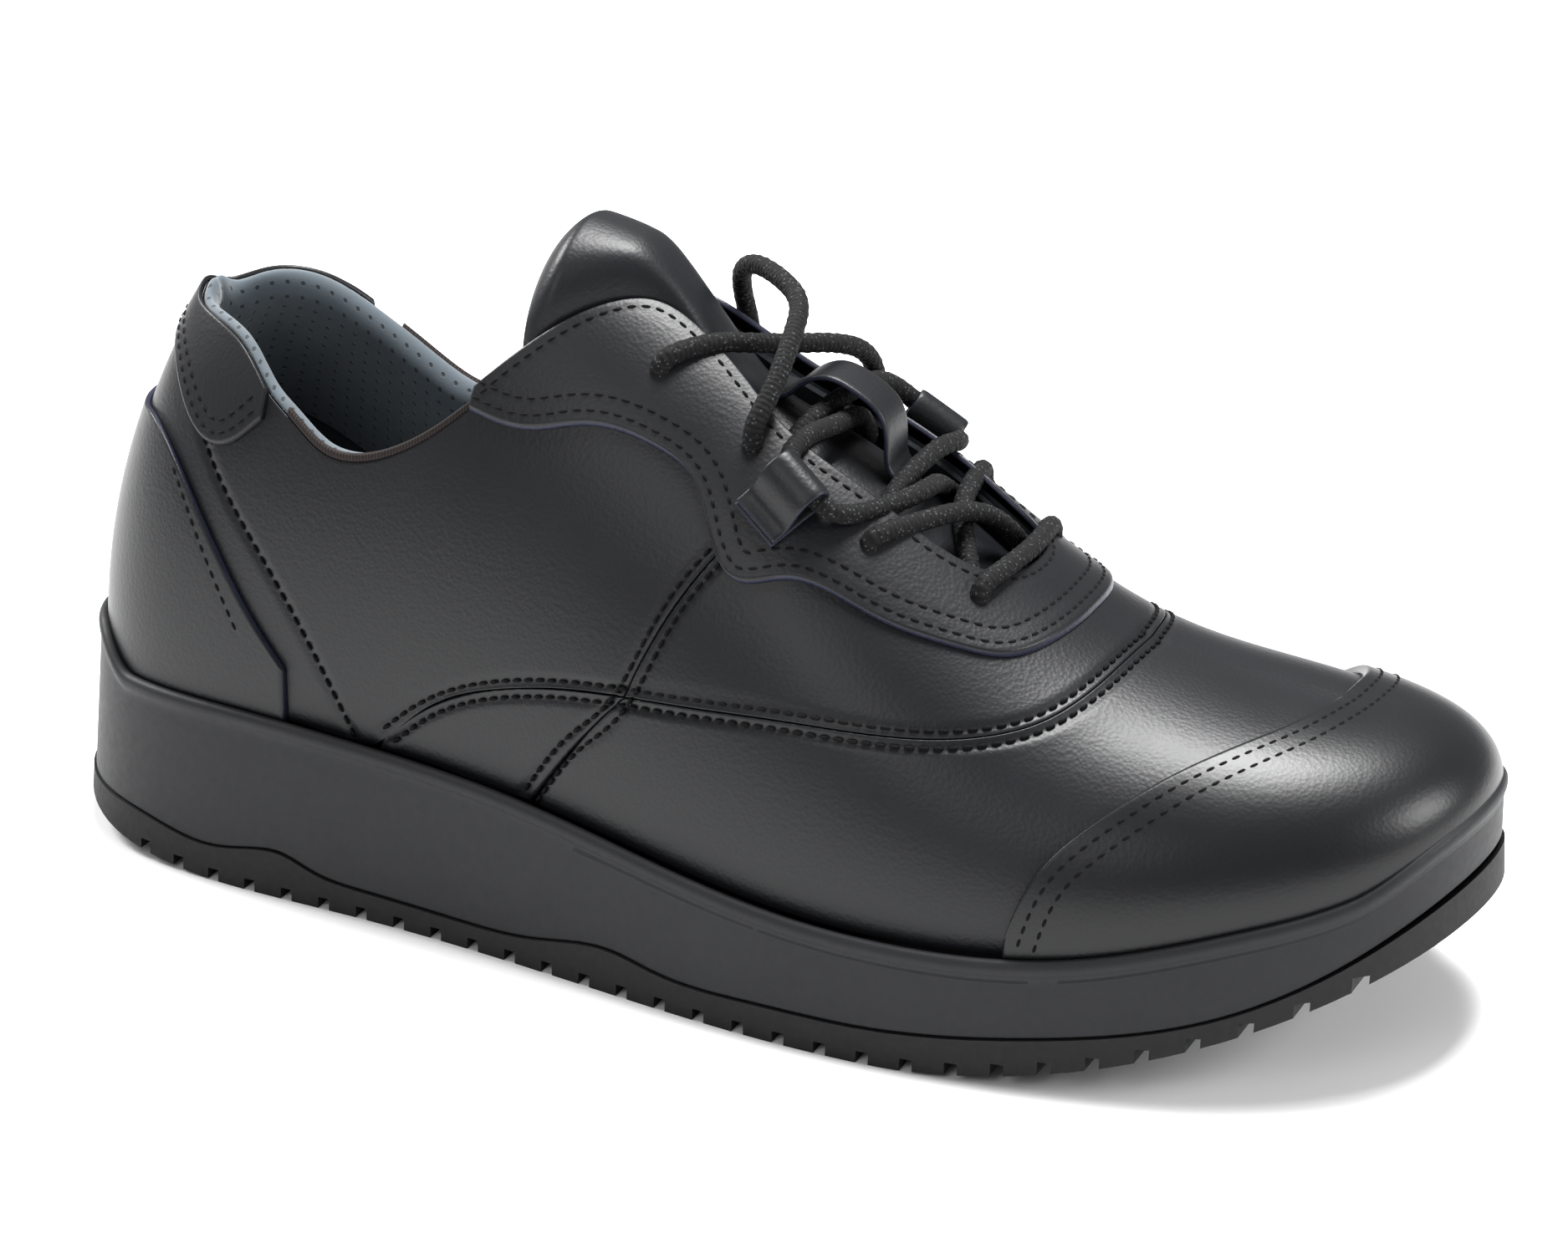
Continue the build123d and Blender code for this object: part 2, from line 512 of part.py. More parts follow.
loop_bore = 5.0
loop_lift = 0.9              # from the eyestay to the strap under the lace
LOOPS = {"lateral": ((12.2, -17.4), (22.9, -19)), "medial": ((19.4, 13.4), (29.2, 15.3))}
for side, ends in LOOPS.items():
    start, end = scaled(ends)
    lift = OVERLAY[1] + loop_lift + strap + loop_bore / 2
    axis_start = on_last(*start, lift)
    axis_end = on_last(*end, lift)
    middle = ((start[0] + end[0]) / 2, (start[1] + end[1]) / 2)
    away = on_last(middle[0], middle[1] * 1.25) - on_last(*middle)
    with BuildPart() as loop:
        with BuildSketch(Plane(origin=axis_start, x_dir=away, z_dir=axis_end - axis_start)) as profile:
            up = 1 if profile.workplanes[0].y_dir.dot(normal_at(*middle)) > 0 else -1
            Circle(loop_bore / 2 + strap)
            with Locations((4.2, -up * (loop_bore / 2 + 0.1))):
                Rectangle(8.4, 2 * strap)
            Circle(loop_bore / 2, mode=Mode.SUBTRACT)
        extrude(amount=(axis_end - axis_start).length)
    finish(loop, f"lace_loop_{side}")

# ---------------------------------------------------------------- sole
def ground(x):
    """Underside of the sole: flat, with a bevelled heel and a sprung toe."""
    toe = max(x / grade_x - 45, 0) / 107
    heel = max(-100 - x / grade_x, 0) / 50
    return (30.5 * toe**1.9 + 6 * heel**2) * grade_z


groove = along_x([-165, -140, -126, -109, -97, -92, -84, -73, -52, -31, -18, -12, -2, 21, 45, 82, 114, 135, 150, 165],
                 [11.5, 10.4, 9.4, 7.4, 9.4, 9.6, 7.2, 5.8, 5.3, 6.2, 8.6, 8.8, 7.2, 6.8, 7.2, 11, 18, 28, 37.5, 46])


def cup_rim(x):
    """Top of the midsole's rim, which curls up round the heel and over the toe."""
    heel = ease((-132 - x / grade_x) / 14)
    toe = ease((x / grade_x - 132) / 14)
    return feather_z(x) + (0.9 + 7 * heel + 2.5 * toe) * grade_z


def seat(drop):
    """A height that follows the feather line, lifted by drop."""
    return lambda x: feather_z(x) + drop


def foot_points(flare, toe=0):
    """Points of the feather line grown by flare, and by toe more at its front end."""
    return [tuple(outline(s) + plan_normal(s) * (flare + toe * exp(-((s - 0.5) / 0.12)**2)))
            for s in np.arange(0, 1, 1 / 48)]


def side_profile(low, high, breaks=()):
    """Side view of the space between two heights that depend on x; the low one may have breaks."""
    ends = [-160 * grade_x, *breaks, 160 * grade_x]
    with BuildSketch(Plane.XZ) as profile:
        with BuildLine():
            for first, last in zip(ends, ends[1:]):
                Spline(*[(x, low(x)) for x in np.linspace(first, last, 61)])
            Spline(*[(x, high(x)) for x in np.linspace(ends[0], ends[-1], 61)])
            Line((ends[0], low(ends[0])), (ends[0], high(ends[0])))
            Line((ends[-1], low(ends[-1])), (ends[-1], high(ends[-1])))
        make_face()
    return profile.sketch


def foot_column(flare, height, draft=0, toe=0):
    """A column over the feather line grown by flare, drawn in with height by the draft."""
    with BuildPart() as column:
        for level in (-5, height):
            with BuildSketch(Plane.XY.offset(level)):
                with BuildLine():
                    Spline(*foot_points(flare - level * tan(draft * pi / 180), toe), periodic=True)
                make_face()
        loft(ruled=True)
    return column.part


tread_pitch, tread_slot, tread_spine = 9.0, 2.6, 20.0
with BuildPart() as outsole:
    add(foot_column(sole_flare + 0.5, 60, sole_draft))
    between = side_profile(ground, lambda x: groove(x) - gap, breaks=(-100 * grade_x, 45 * grade_x))
    extrude(between, amount=90, both=True, mode=Mode.INTERSECT)
    for x in np.arange(-126 * grade_x, 136 * grade_x, tread_pitch):
        for side in (-1, 1):
            with Locations((x, side * (tread_spine / 2 + 40), ground(x))):
                Box(tread_slot, 80, 2 * tread_depth, mode=Mode.SUBTRACT)
finish(outsole, "outsole")

well_clearance, toe_clearance = 0.4, 1.9


def well_floor(x):
    """The foot well's floor: along the feather line, and lower where the toe cap's edge comes down."""
    return feather_z(x) - 2 * gap - toe_clearance * ease((x / grade_x - 122) / 14)


with BuildPart() as foot_well:
    add(foot_column(OVERLAY[1] + well_clearance, 90, toe=toe_clearance))
    extrude(side_profile(well_floor, seat(50)), amount=90, both=True, mode=Mode.INTERSECT)

shank_middle, shank_width, shank_thickness = -28 * grade_x, 14.0, 1.4


def shank_bar(clearance):
    """The shank's bar, or with clearance the pocket that it lies in."""
    with BuildPart() as bar:
        with BuildSketch():
            with Locations((shank_middle, 0)):
                RectangleRounded(shank_length + 2 * clearance, shank_width + 2 * clearance, 5)
        extrude(amount=60)
        top = -3 * gap if clearance == 0 else 2.0
        extrude(side_profile(seat(-3 * gap - shank_thickness - clearance), seat(top)), amount=90, both=True,
                mode=Mode.INTERSECT)
    return bar.part


with BuildPart() as midsole:
    add(foot_column(sole_flare, 75, sole_draft))
    extrude(side_profile(groove, cup_rim), amount=90, both=True, mode=Mode.INTERSECT)
    add(foot_well.part, mode=Mode.SUBTRACT)
    add(shank_bar(gap), mode=Mode.SUBTRACT)
finish(midsole, "midsole")

with BuildPart() as shank:
    add(shank_bar(0))
finish(shank, "shank")

board_top, footbed_top = 1.9, 6.5
with BuildPart() as insole_board:
    add(foot_column(LINING[0] - 0.5, 75))
    extrude(side_profile(seat(-gap), seat(board_top)), amount=90, both=True, mode=Mode.INTERSECT)
finish(insole_board, "insole_board")

with BuildPart() as footbed:
    add(foot_column(LINING[0] - 1.4, 75))
    extrude(side_profile(seat(board_top + gap), seat(footbed_top)), amount=90, both=True, mode=Mode.INTERSECT)
finish(footbed, "footbed")

aglet_length = 18.0
for side, tip, behind in (("lateral", graded_route[0][0], graded_route[1][0]),
                          ("medial", graded_route[-1][0], graded_route[-2][0])):
    with BuildPart() as aglet:
        with BuildSketch(Plane(origin=tip, z_dir=tip - behind).offset(0.05)):
            Circle(lace_diameter / 2 - 0.3)
        extrude(amount=aglet_length)
    finish(aglet, f"aglet_{side}")

for label, volume, solids in finished:
    print(f"{label:26s} {volume:10.1f} mm3  {solids} solid")
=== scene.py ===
# %% [markdown]
# # A lace-up bowling shoe
# The shoe is built from leather panels that lie in layers over one smooth surface, the last. Everything here is
# first worked out in millimetres on that last and then written to the meshes in metres.

import bpy
import numpy as np
from mathutils import Matrix, Vector


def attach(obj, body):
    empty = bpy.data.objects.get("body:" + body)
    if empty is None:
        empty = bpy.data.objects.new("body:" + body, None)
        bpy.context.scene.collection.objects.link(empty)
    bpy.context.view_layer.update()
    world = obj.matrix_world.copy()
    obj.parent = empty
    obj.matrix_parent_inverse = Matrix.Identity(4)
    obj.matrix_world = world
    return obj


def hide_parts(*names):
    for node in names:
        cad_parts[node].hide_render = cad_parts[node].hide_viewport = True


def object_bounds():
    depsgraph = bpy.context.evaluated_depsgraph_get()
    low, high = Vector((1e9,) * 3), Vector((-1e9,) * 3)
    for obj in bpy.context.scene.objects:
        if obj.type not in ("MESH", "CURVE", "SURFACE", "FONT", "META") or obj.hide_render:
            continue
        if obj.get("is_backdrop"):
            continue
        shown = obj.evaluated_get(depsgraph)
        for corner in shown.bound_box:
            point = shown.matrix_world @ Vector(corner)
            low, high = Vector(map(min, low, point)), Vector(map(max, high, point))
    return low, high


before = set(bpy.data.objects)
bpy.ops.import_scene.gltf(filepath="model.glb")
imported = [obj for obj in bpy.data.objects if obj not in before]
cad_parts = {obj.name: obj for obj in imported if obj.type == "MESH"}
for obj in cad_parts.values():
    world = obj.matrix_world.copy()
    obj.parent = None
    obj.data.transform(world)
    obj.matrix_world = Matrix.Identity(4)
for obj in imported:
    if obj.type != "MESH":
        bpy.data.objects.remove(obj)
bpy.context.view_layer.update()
scene = bpy.context.scene

# %% [markdown]
# ## Camera, light and floor
# A long lens from a little above the outer side. The camera is turned by its own three axes, so its small roll
# is kept. Large soft lamps and a white world give the broad highlights that show the shape of black leather.

# %% the camera
def look_from(azimuth, elevation, roll, distance, target):
    """The camera's turn and place: back points from the target to the camera, right and up are turned by roll."""
    a, e, r = np.radians([azimuth, elevation, roll])
    back = np.array([np.sin(a) * np.cos(e), -np.cos(a) * np.cos(e), np.sin(e)])
    right = np.array([np.cos(a), np.sin(a), 0])
    up = np.cross(back, right)
    right, up = np.cos(r) * right + np.sin(r) * up, -np.sin(r) * right + np.cos(r) * up
    turn = Matrix([list(row) for row in np.stack([right, up, back], 1)])
    return turn.to_quaternion(), Vector(target) + Vector(back) * distance


camera = bpy.data.objects.new("camera", bpy.data.cameras.new("camera"))
scene.collection.objects.link(camera)
camera.rotation_mode = "QUATERNION"
camera.rotation_quaternion, camera.location = look_from(22.61, 22.41, 1.11, 1.0995, (0, 0, .05))
camera.data.lens = 125.4
camera.data.shift_x, camera.data.shift_y = .0079, .0333
scene.camera = camera

# %% soft lamps, a white world and a pale floor
def soft_lamp(name, place, aim, size, watts):
    """A square area lamp at place, facing aim."""
    lamp = bpy.data.objects.new(name, bpy.data.lights.new(name, "AREA"))
    lamp.data.size, lamp.data.energy = size, watts
    lamp.location = place
    lamp.rotation_euler = (Vector(aim) - Vector(place)).to_track_quat("-Z", "Y").to_euler()
    scene.collection.objects.link(lamp)


soft_lamp("overhead", (.05, .35, 1.5), (.02, 0, .06), .6, 52)
soft_lamp("left_back", (-1.0, .2, .75), (-.05, 0, .06), .45, 17)
soft_lamp("toe_side", (1.05, .15, .55), (.08, 0, .05), .45, 9)
soft_lamp("front_fill", (-.25, -1.4, .95), (0, 0, .06), .8, 6)
world = bpy.data.worlds.new("studio")
world.use_nodes = True
world.node_tree.nodes["Background"].inputs["Color"].default_value = (1, 1, 1, 1)
world.node_tree.nodes["Background"].inputs["Strength"].default_value = .3
scene.world = world
scene.view_settings.view_transform = "Standard"

# %% [markdown]
# ## The last
# A shoemaker's last is the solid foot shape that a shoe is pulled over. Here it is a family of ribs: each starts
# on the feather line, where upper meets sole, and rises to the ridge along the top of the foot. A place is named
# by its plan position (xi, eta) and by t, its height above the leather's outer face.

# %% smooth curves through a few values
def cubic(stations, values, closed=False):
    """The natural (or closed) cubic spline: each span is a cubic, and slope and bend agree at every station."""
    xs, ys = np.asarray(stations, float), np.asarray(values, float)
    count, step = len(xs), np.diff(xs)
    slope = (np.diff(ys, axis=0).T / step).T
    system, right = np.zeros((count, count)), np.zeros_like(ys)
    for i in range(1, count - 1):
        system[i, i - 1:i + 2] = step[i - 1], 2 * (step[i - 1] + step[i]), step[i]
        right[i] = 6 * (slope[i] - slope[i - 1])
    if closed:
        system[0, [0, -1]] = 1, -1
        system[-1, [0, 1, -2, -1]] = 2 * step[0], step[0], step[-1], 2 * step[-1]
        right[-1] = 6 * (slope[0] - slope[-1])
    else:
        system[0, 0] = system[-1, -1] = 1
    bend = np.linalg.solve(system, right)

    def value(x):
        x = np.asarray(x, float)
        if closed:
            x = xs[0] + (x - xs[0]) % (xs[-1] - xs[0])
        i = np.clip(np.searchsorted(xs, x, side="right") - 1, 0, count - 2)
        h, a, b = step[i], x - xs[i], xs[i + 1] - x
        if ys.ndim > 1:
            h, a, b = h[..., None], a[..., None], b[..., None]
        return ((bend[i] * b**3 + bend[i + 1] * a**3) / (6 * h)
                + (ys[i] / h - bend[i] * h / 6) * b + (ys[i + 1] / h - bend[i + 1] * h / 6) * a)

    return value


# %% feather line, ridge and ribs
FEATHER_PLAN = np.array([
    (-147, 0), (-137.5, -20.5), (-114, -30.5), (-70, -35.5), (-20, -44), (35, -53), (80, -50.5), (115, -39.5),
    (138, -20), (146, 6), (138, 31), (112, 47), (75, 50.5), (40, 46), (0, 36), (-40, 32), (-80, 32), (-118, 31),
    (-139, 19), (-147, 0)], float)
walked = np.r_[0, np.cumsum(np.hypot(*np.diff(FEATHER_PLAN, axis=0).T))]
TOE = 9
fractions = np.where(np.arange(20) <= TOE, .5 * walked / walked[TOE],
                     .5 + .5 * (walked - walked[TOE]) / (walked[-1] - walked[TOE]))
outline = cubic(fractions, FEATHER_PLAN, closed=True)
feather_z = cubic([-150, -125, -100, -70, -40, -10, 20, 50, 85, 115, 135, 150],
                  [37, 37, 37, 35.5, 33.5, 29.5, 25.5, 24, 26.5, 34, 40, 48])
ridge_z = cubic([-125, -100, -60, -30, 0, 20, 45, 75, 100, 125], [130, 134, 137, 133, 120, 110, 92, 73, 66, 61])
ridge_y = cubic([-125, -60, 0, 60, 125], [0, -1, -2, 2, 7])
AROUND = [0, .06, .13, .22, .32, .42, .5, .58, .68, .78, .87, .94, 1]
fullness = cubic(AROUND, [1.9, 1.5, 1.1, 1.1, .95, .8, .75, .9, 1.0, .84, 1.1, 1.5, 1.9], closed=True)
bulge = cubic(AROUND, [1, 2, 3.5, 2.5, 3, 3, 2.5, 2, 2, 3, 3.5, 2, 1], closed=True)


def plan_normal(s):
    """Outward unit normal of the feather line in plan."""
    along = outline(s + 1e-4) - outline(s - 1e-4)
    normal = np.stack([along[..., 1], -along[..., 0]], -1)
    return normal / np.linalg.norm(normal, axis=-1, keepdims=True)


def spine_x(x):
    """Where on the ridge the rib from x ends: x drawn in smoothly towards half the ridge's length."""
    q = x / 145.5
    return x / (1 + np.abs(q)**3)**(1 / 3)


def rib(s, v, t=0.0):
    """Point at height fraction v on the rib from outline(s): z rises as sin, the plan point runs in as
    1 - cos to the fullness, with a swell of sin(2a) cos(a), all moved out by t."""
    s, v, t = np.broadcast_arrays(np.asarray(s, float), np.asarray(v, float), np.asarray(t, float))
    start, normal = outline(s), plan_normal(s)
    top_x = spine_x(start[..., 0])
    top = np.stack([top_x, ridge_y(top_x)], -1)
    angle = v * np.pi / 2
    inward = 1 - np.clip(np.cos(angle), 0, 1)**fullness(s)
    swell = bulge(s) * np.sin(2 * angle) * np.cos(angle)
    out = normal * t[..., None]
    plan = start + out + normal * swell[..., None] + inward[..., None] * (top - start - out)
    low = feather_z(start[..., 0])
    return np.concatenate([plan, (low + np.sin(angle) * (ridge_z(top_x) + t - low))[..., None]], -1)


def locate(plan):
    """The rib and height fraction (s, v) of plan places, by halving the side of the foot they are on."""
    xi, eta = plan[..., 0], plan[..., 1]
    nearest = np.clip(xi, spine_x(outline(0.)[0]), spine_x(outline(.5)[0]))
    outer = eta < ridge_y(nearest)
    low, high = np.where(outer, 0, .5), np.where(outer, .5, 1)
    for _ in range(40):
        s = (low + high) / 2
        x, y = np.moveaxis(outline(s), -1, 0)
        top_x = spine_x(x)
        before = (top_x - x) * (eta - y) < (ridge_y(top_x) - y) * (xi - x)
        low, high = np.where(before, s, low), np.where(before, high, s)
    toward = np.stack([top_x - x, ridge_y(top_x) - y], -1)
    gone = np.stack([xi - x, eta - y], -1)
    return s, np.maximum((gone * toward).sum(-1) / (toward * toward).sum(-1), 0)


def on_last(plan, t=0.0):
    """Points of the last over plan places, t above the leather."""
    return rib(*locate(np.asarray(plan, float)), t)


def directions(plan):
    """Outward normal of the last and its two slopes along xi and eta, by small steps."""
    plan = np.asarray(plan, float)
    dx = (on_last(plan + (.3, 0)) - on_last(plan - (.3, 0))) / .6
    dy = (on_last(plan + (0, .3)) - on_last(plan - (0, .3))) / .6
    normal = np.cross(dx, dy)
    return normal / np.linalg.norm(normal, axis=-1, keepdims=True), dx, dy


# %% lines drawn on the last
def through(points):
    """A smooth line through plan points, as a function of its length fraction."""
    points = np.asarray(points, float)
    lengths = np.r_[0, np.cumsum(np.hypot(*np.diff(points, axis=0).T))]
    return cubic(lengths / lengths[-1], points)


def line(*pairs):
    return through(pairs)


def stretch(curve, first, last):
    return lambda u: curve(first + (last - first) * np.asarray(u, float))


def joined(before, after):
    """Two lines end to end."""
    return lambda u: np.where((np.asarray(u) < .5)[..., None], before(np.minimum(2 * np.asarray(u), 1)),
                              after(np.maximum(2 * np.asarray(u) - 1, 0)))


def beside(curve, offset, count=160):
    """A line offset to the left of a curve, in true millimetres on the last."""
    u = np.linspace(0, 1, count)
    plan = curve(u)
    normal, dx, dy = directions(plan)
    along = np.gradient(on_last(plan), axis=0)
    left = np.cross(normal, along)
    left /= np.linalg.norm(left, axis=-1, keepdims=True)
    slopes = np.stack([dx, dy], -1)
    squares = np.swapaxes(slopes, -1, -2) @ slopes
    step = np.linalg.solve(squares, (np.swapaxes(slopes, -1, -2) @ left[..., None]))[..., 0]
    return through(plan + offset * step)


print("last height over the instep", round(float(on_last((-60, 0))[2]), 1), "mm")

# %% [markdown]
# ## Finishes
# Each finish is a small node tree on Object coordinates, which are metres here: a colour that varies a little, a
# roughness that varies with it, and a bump of the grain's real size. The colour of a cut edge comes from a mesh
# attribute named raw, which is 1 where a panel's edge was cut and shows the blue-grey core of the leather.

# %% node helpers
def finish_nodes(name, colour, roughness, **sockets):
    """A new material whose shader has a colour, a roughness and other sockets set; returns it and its nodes."""
    made = bpy.data.materials.new(name)
    made.use_nodes = True
    nodes, links = made.node_tree.nodes, made.node_tree.links
    shader = nodes["Principled BSDF"]
    shader.inputs["Base Color"].default_value = (*colour, 1)
    shader.inputs["Roughness"].default_value = roughness
    for socket, value in sockets.items():
        shader.inputs[socket.replace("_", " ")].default_value = value
    return made, nodes, links, shader


def pattern(nodes, links, kind, scale, source="Object", **settings):
    """A noise or Voronoi texture read at a scale per metre."""
    place = nodes.new("ShaderNodeTexCoord")
    texture = nodes.new(kind)
    texture.inputs["Scale"].default_value = scale
    for socket, value in settings.items():
        texture.inputs[socket].default_value = value
    links.new(place.outputs[source], texture.inputs["Vector"])
    return texture


def spread(nodes, links, value, low, high, colours=False):
    """Maps a 0..1 value to the range low..high, or to a blend of two colours."""
    if colours:
        ramp = nodes.new("ShaderNodeValToRGB")
        ramp.color_ramp.elements[0].color = (*low, 1)
        ramp.color_ramp.elements[1].color = (*high, 1)
        links.new(value, ramp.inputs["Fac"])
        return ramp.outputs["Color"]
    ranged = nodes.new("ShaderNodeMapRange")
    ranged.inputs["To Min"].default_value = low
    ranged.inputs["To Max"].default_value = high
    links.new(value, ranged.inputs["Value"])
    return ranged.outputs["Result"]


def bump(nodes, links, shader, *layers):
    """Adds bumps one on another: each layer is a height output, its strength and its depth in metres."""
    before = None
    for height, strength, depth in layers:
        node = nodes.new("ShaderNodeBump")
        node.inputs["Strength"].default_value = strength
        node.inputs["Distance"].default_value = depth
        links.new(height, node.inputs["Height"])
        if before is not None:
            links.new(before.outputs["Normal"], node.inputs["Normal"])
        before = node
    links.new(before.outputs["Normal"], shader.inputs["Normal"])


# %% leather
def leather(name, dark, light, rough, grain):
    """Black leather: tiny Voronoi grain under broad creases, dull in the hollows, blue-grey where it was cut."""
    made, nodes, links, shader = finish_nodes(name, dark, rough[0], Specular_IOR_Level=.3)
    broad = pattern(nodes, links, "ShaderNodeTexNoise", 22, Detail=6, Roughness=.6)
    fine = pattern(nodes, links, "ShaderNodeTexNoise", 900, Detail=3)
    cells = pattern(nodes, links, "ShaderNodeTexVoronoi", 1150)
    raw = nodes.new("ShaderNodeAttribute")
    raw.attribute_name = "raw"
    mix = nodes.new("ShaderNodeMix")
    mix.data_type = "RGBA"
    links.new(raw.outputs["Fac"], mix.inputs["Factor"])
    links.new(spread(nodes, links, broad.outputs["Fac"], dark, light, True), mix.inputs["A"])
    mix.inputs["B"].default_value = (.017, .019, .036, 1)
    links.new(mix.outputs["Result"], shader.inputs["Base Color"])
    links.new(spread(nodes, links, broad.outputs["Fac"], *rough), shader.inputs["Roughness"])
    bump(nodes, links, shader, (cells.outputs["Distance"], grain, .00012), (fine.outputs["Fac"], grain, .00008))
    return made


upper_leather = leather("upper_leather", (.0042, .0045, .0055), (.0085, .009, .0112), (.33, .46), .3)
cap_leather = leather("cap_leather", (.004, .0043, .005), (.0075, .008, .0095), (.29, .4), .18)


# %% rubber, foam, board and thread
def speckled(name, dark, light, rough, scale, depth, strength=.3, **sockets):
    """A moulded or pressed material: noise in colour, in roughness and in its bump."""
    made, nodes, links, shader = finish_nodes(name, dark, rough[0], **sockets)
    coarse = pattern(nodes, links, "ShaderNodeTexNoise", scale / 12, Detail=5)
    fine = pattern(nodes, links, "ShaderNodeTexNoise", scale, Detail=4)
    links.new(spread(nodes, links, coarse.outputs["Fac"], dark, light, True), shader.inputs["Base Color"])
    links.new(spread(nodes, links, fine.outputs["Fac"], *rough), shader.inputs["Roughness"])
    bump(nodes, links, shader, (fine.outputs["Fac"], strength, depth))
    return made


sole_side = speckled("sole_side", (.006, .0064, .0078), (.0098, .0104, .0125), (.48, .64), 620, .00012,
                     Specular_IOR_Level=.3)
tread_rubber = speckled("tread_rubber", (.005, .005, .0056), (.009, .0093, .0102), (.6, .8), 700, .00015,
                        Specular_IOR_Level=.3)
seam_thread = speckled("seam_thread", (.0012, .0012, .0013), (.003, .003, .0033), (.6, .85), 2600, .0001, .5,
                       Specular_IOR_Level=.12)
fibre_board = speckled("fibre_board", (.33, .27, .19), (.45, .37, .27), (.8, .95), 900, .0002)
padding_foam = speckled("padding_foam", (.45, .43, .35), (.58, .56, .47), (.9, 1), 1400, .0003, .5)
shank_steel = speckled("shank_steel", (.45, .45, .46), (.6, .6, .62), (.25, .4), 1500, .00003, Metallic=1.)
aglet_plastic = speckled("aglet_plastic", (.012, .012, .013), (.02, .02, .021), (.15, .25), 900, .00002)


# %% perforated suede
def suede(name, dark, light, pitch):
    """Microsuede with rows of punched dots: a dot is where the UV position lies near the middle of its cell; each dot
    is dented by a bump and its colour is darkened to a quarter, as painted shade inside the punched hole.
    """
    made, nodes, links, shader = finish_nodes(name, dark, .85, Sheen_Weight=.35)
    nap = pattern(nodes, links, "ShaderNodeTexNoise", 160, Detail=7, Roughness=.7)
    fibres = pattern(nodes, links, "ShaderNodeTexNoise", 2400, Detail=3)
    place = nodes.new("ShaderNodeTexCoord")
    steps = []
    for operation, value in (("SCALE", 1 / pitch), ("FRACTION", None), ("SUBTRACT", (.5, .5, 0)), ("LENGTH", None)):
        node = nodes.new("ShaderNodeVectorMath")
        node.operation = operation
        links.new(steps[-1].outputs[0] if steps else place.outputs["UV"], node.inputs[0])
        if operation == "SCALE":
            node.inputs["Scale"].default_value = value
        elif value is not None:
            node.inputs[1].default_value = value
        steps.append(node)
    hole_dent_and_painted_shade = nodes.new("ShaderNodeMapRange")
    hole_dent_and_painted_shade.inputs["From Min"].default_value, hole_dent_and_painted_shade.inputs["From Max"].default_value = .1, .17
    links.new(steps[-1].outputs["Value"], hole_dent_and_painted_shade.inputs["Value"])
    mix = nodes.new("ShaderNodeMix")
    mix.data_type = "RGBA"
    # the dots are painted a quarter as bright: painted shade inside the punched holes
    mix.inputs["A"].default_value = (dark[0] * .25, dark[1] * .25, dark[2] * .25, 1)
    links.new(hole_dent_and_painted_shade.outputs["Result"], mix.inputs["Factor"])
    links.new(spread(nodes, links, nap.outputs["Fac"], dark, light, True), mix.inputs["B"])
    links.new(mix.outputs["Result"], shader.inputs["Base Color"])
    bump(nodes, links, shader, (hole_dent_and_painted_shade.outputs["Result"], .6, .0003), (fibres.outputs["Fac"], .4, .0001))
    return made


collar_suede = suede("collar_suede", (.05, .066, .08), (.092, .116, .136), .0032)


# %% ribbed tape and braid
def ribbed(name, dark, light, count, flecks=None, **sockets):
    """Woven tape or braid on the piece's UV map: V runs across, U along, and ribs or crossing strands are waves. The
    same wave darkens the colour in the low grooves between ribs or strands, as painted shade.
    """
    made, nodes, links, shader = finish_nodes(name, dark, .8, **sockets)
    place = nodes.new("ShaderNodeTexCoord")
    wave = nodes.new("ShaderNodeTexWave")
    wave.inputs["Scale"].default_value = count
    wave.inputs["Distortion"].default_value = .6
    links.new(place.outputs["UV"], wave.inputs["Vector"])
    # the colour is darker where the wave is low, in the grooves: painted shade between the ribs or strands
    colour = spread(nodes, links, wave.outputs["Fac"], dark, light, True)
    if flecks is not None:
        cells = pattern(nodes, links, "ShaderNodeTexVoronoi", 1050)
        spot = nodes.new("ShaderNodeMapRange")
        spot.inputs["From Min"].default_value, spot.inputs["From Max"].default_value = .27, .17
        links.new(cells.outputs["Distance"], spot.inputs["Value"])
        mix = nodes.new("ShaderNodeMix")
        mix.data_type = "RGBA"
        links.new(spot.outputs["Result"], mix.inputs["Factor"])
        links.new(colour, mix.inputs["A"])
        mix.inputs["B"].default_value = (*flecks, 1)
        colour = mix.outputs["Result"]
    links.new(colour, shader.inputs["Base Color"])
    bump(nodes, links, shader, (wave.outputs["Fac"], .5, .0002))
    return made


edge_tape = ribbed("edge_tape", (.008, .0055, .005), (.022, .015, .0135), 420, Specular_IOR_Level=.25)
tongue_backing = ribbed("tongue_backing", (.016, .011, .009), (.034, .024, .02), 500)
lace_braid = ribbed("lace_braid", (.0022, .0022, .0025), (.007, .007, .0076), 300, (.05, .053, .056),
                    Specular_IOR_Level=.2)
print("finishes", len(bpy.data.materials))

# %% [markdown]
# ## Grids into meshes
# Every new piece is a grid of points from a formula. The helpers below close a grid into a solid skin, give it a
# UV map in metres of cloth, and let it ride on a body in place of its CAD node.

# %% grid helpers
def grid_faces(rows, columns, start=0, wrap=False, flip=False):
    """Quads of a rows x columns grid of vertex numbers; wrap joins the last column to the first."""
    numbers = start + np.arange(rows * columns).reshape(rows, columns)
    if wrap:
        numbers = np.concatenate([numbers, numbers[:, :1]], 1)
    quads = np.stack([numbers[:-1, :-1], numbers[1:, :-1], numbers[1:, 1:], numbers[:-1, 1:]], -1).reshape(-1, 4)
    return quads[:, ::-1] if flip else quads


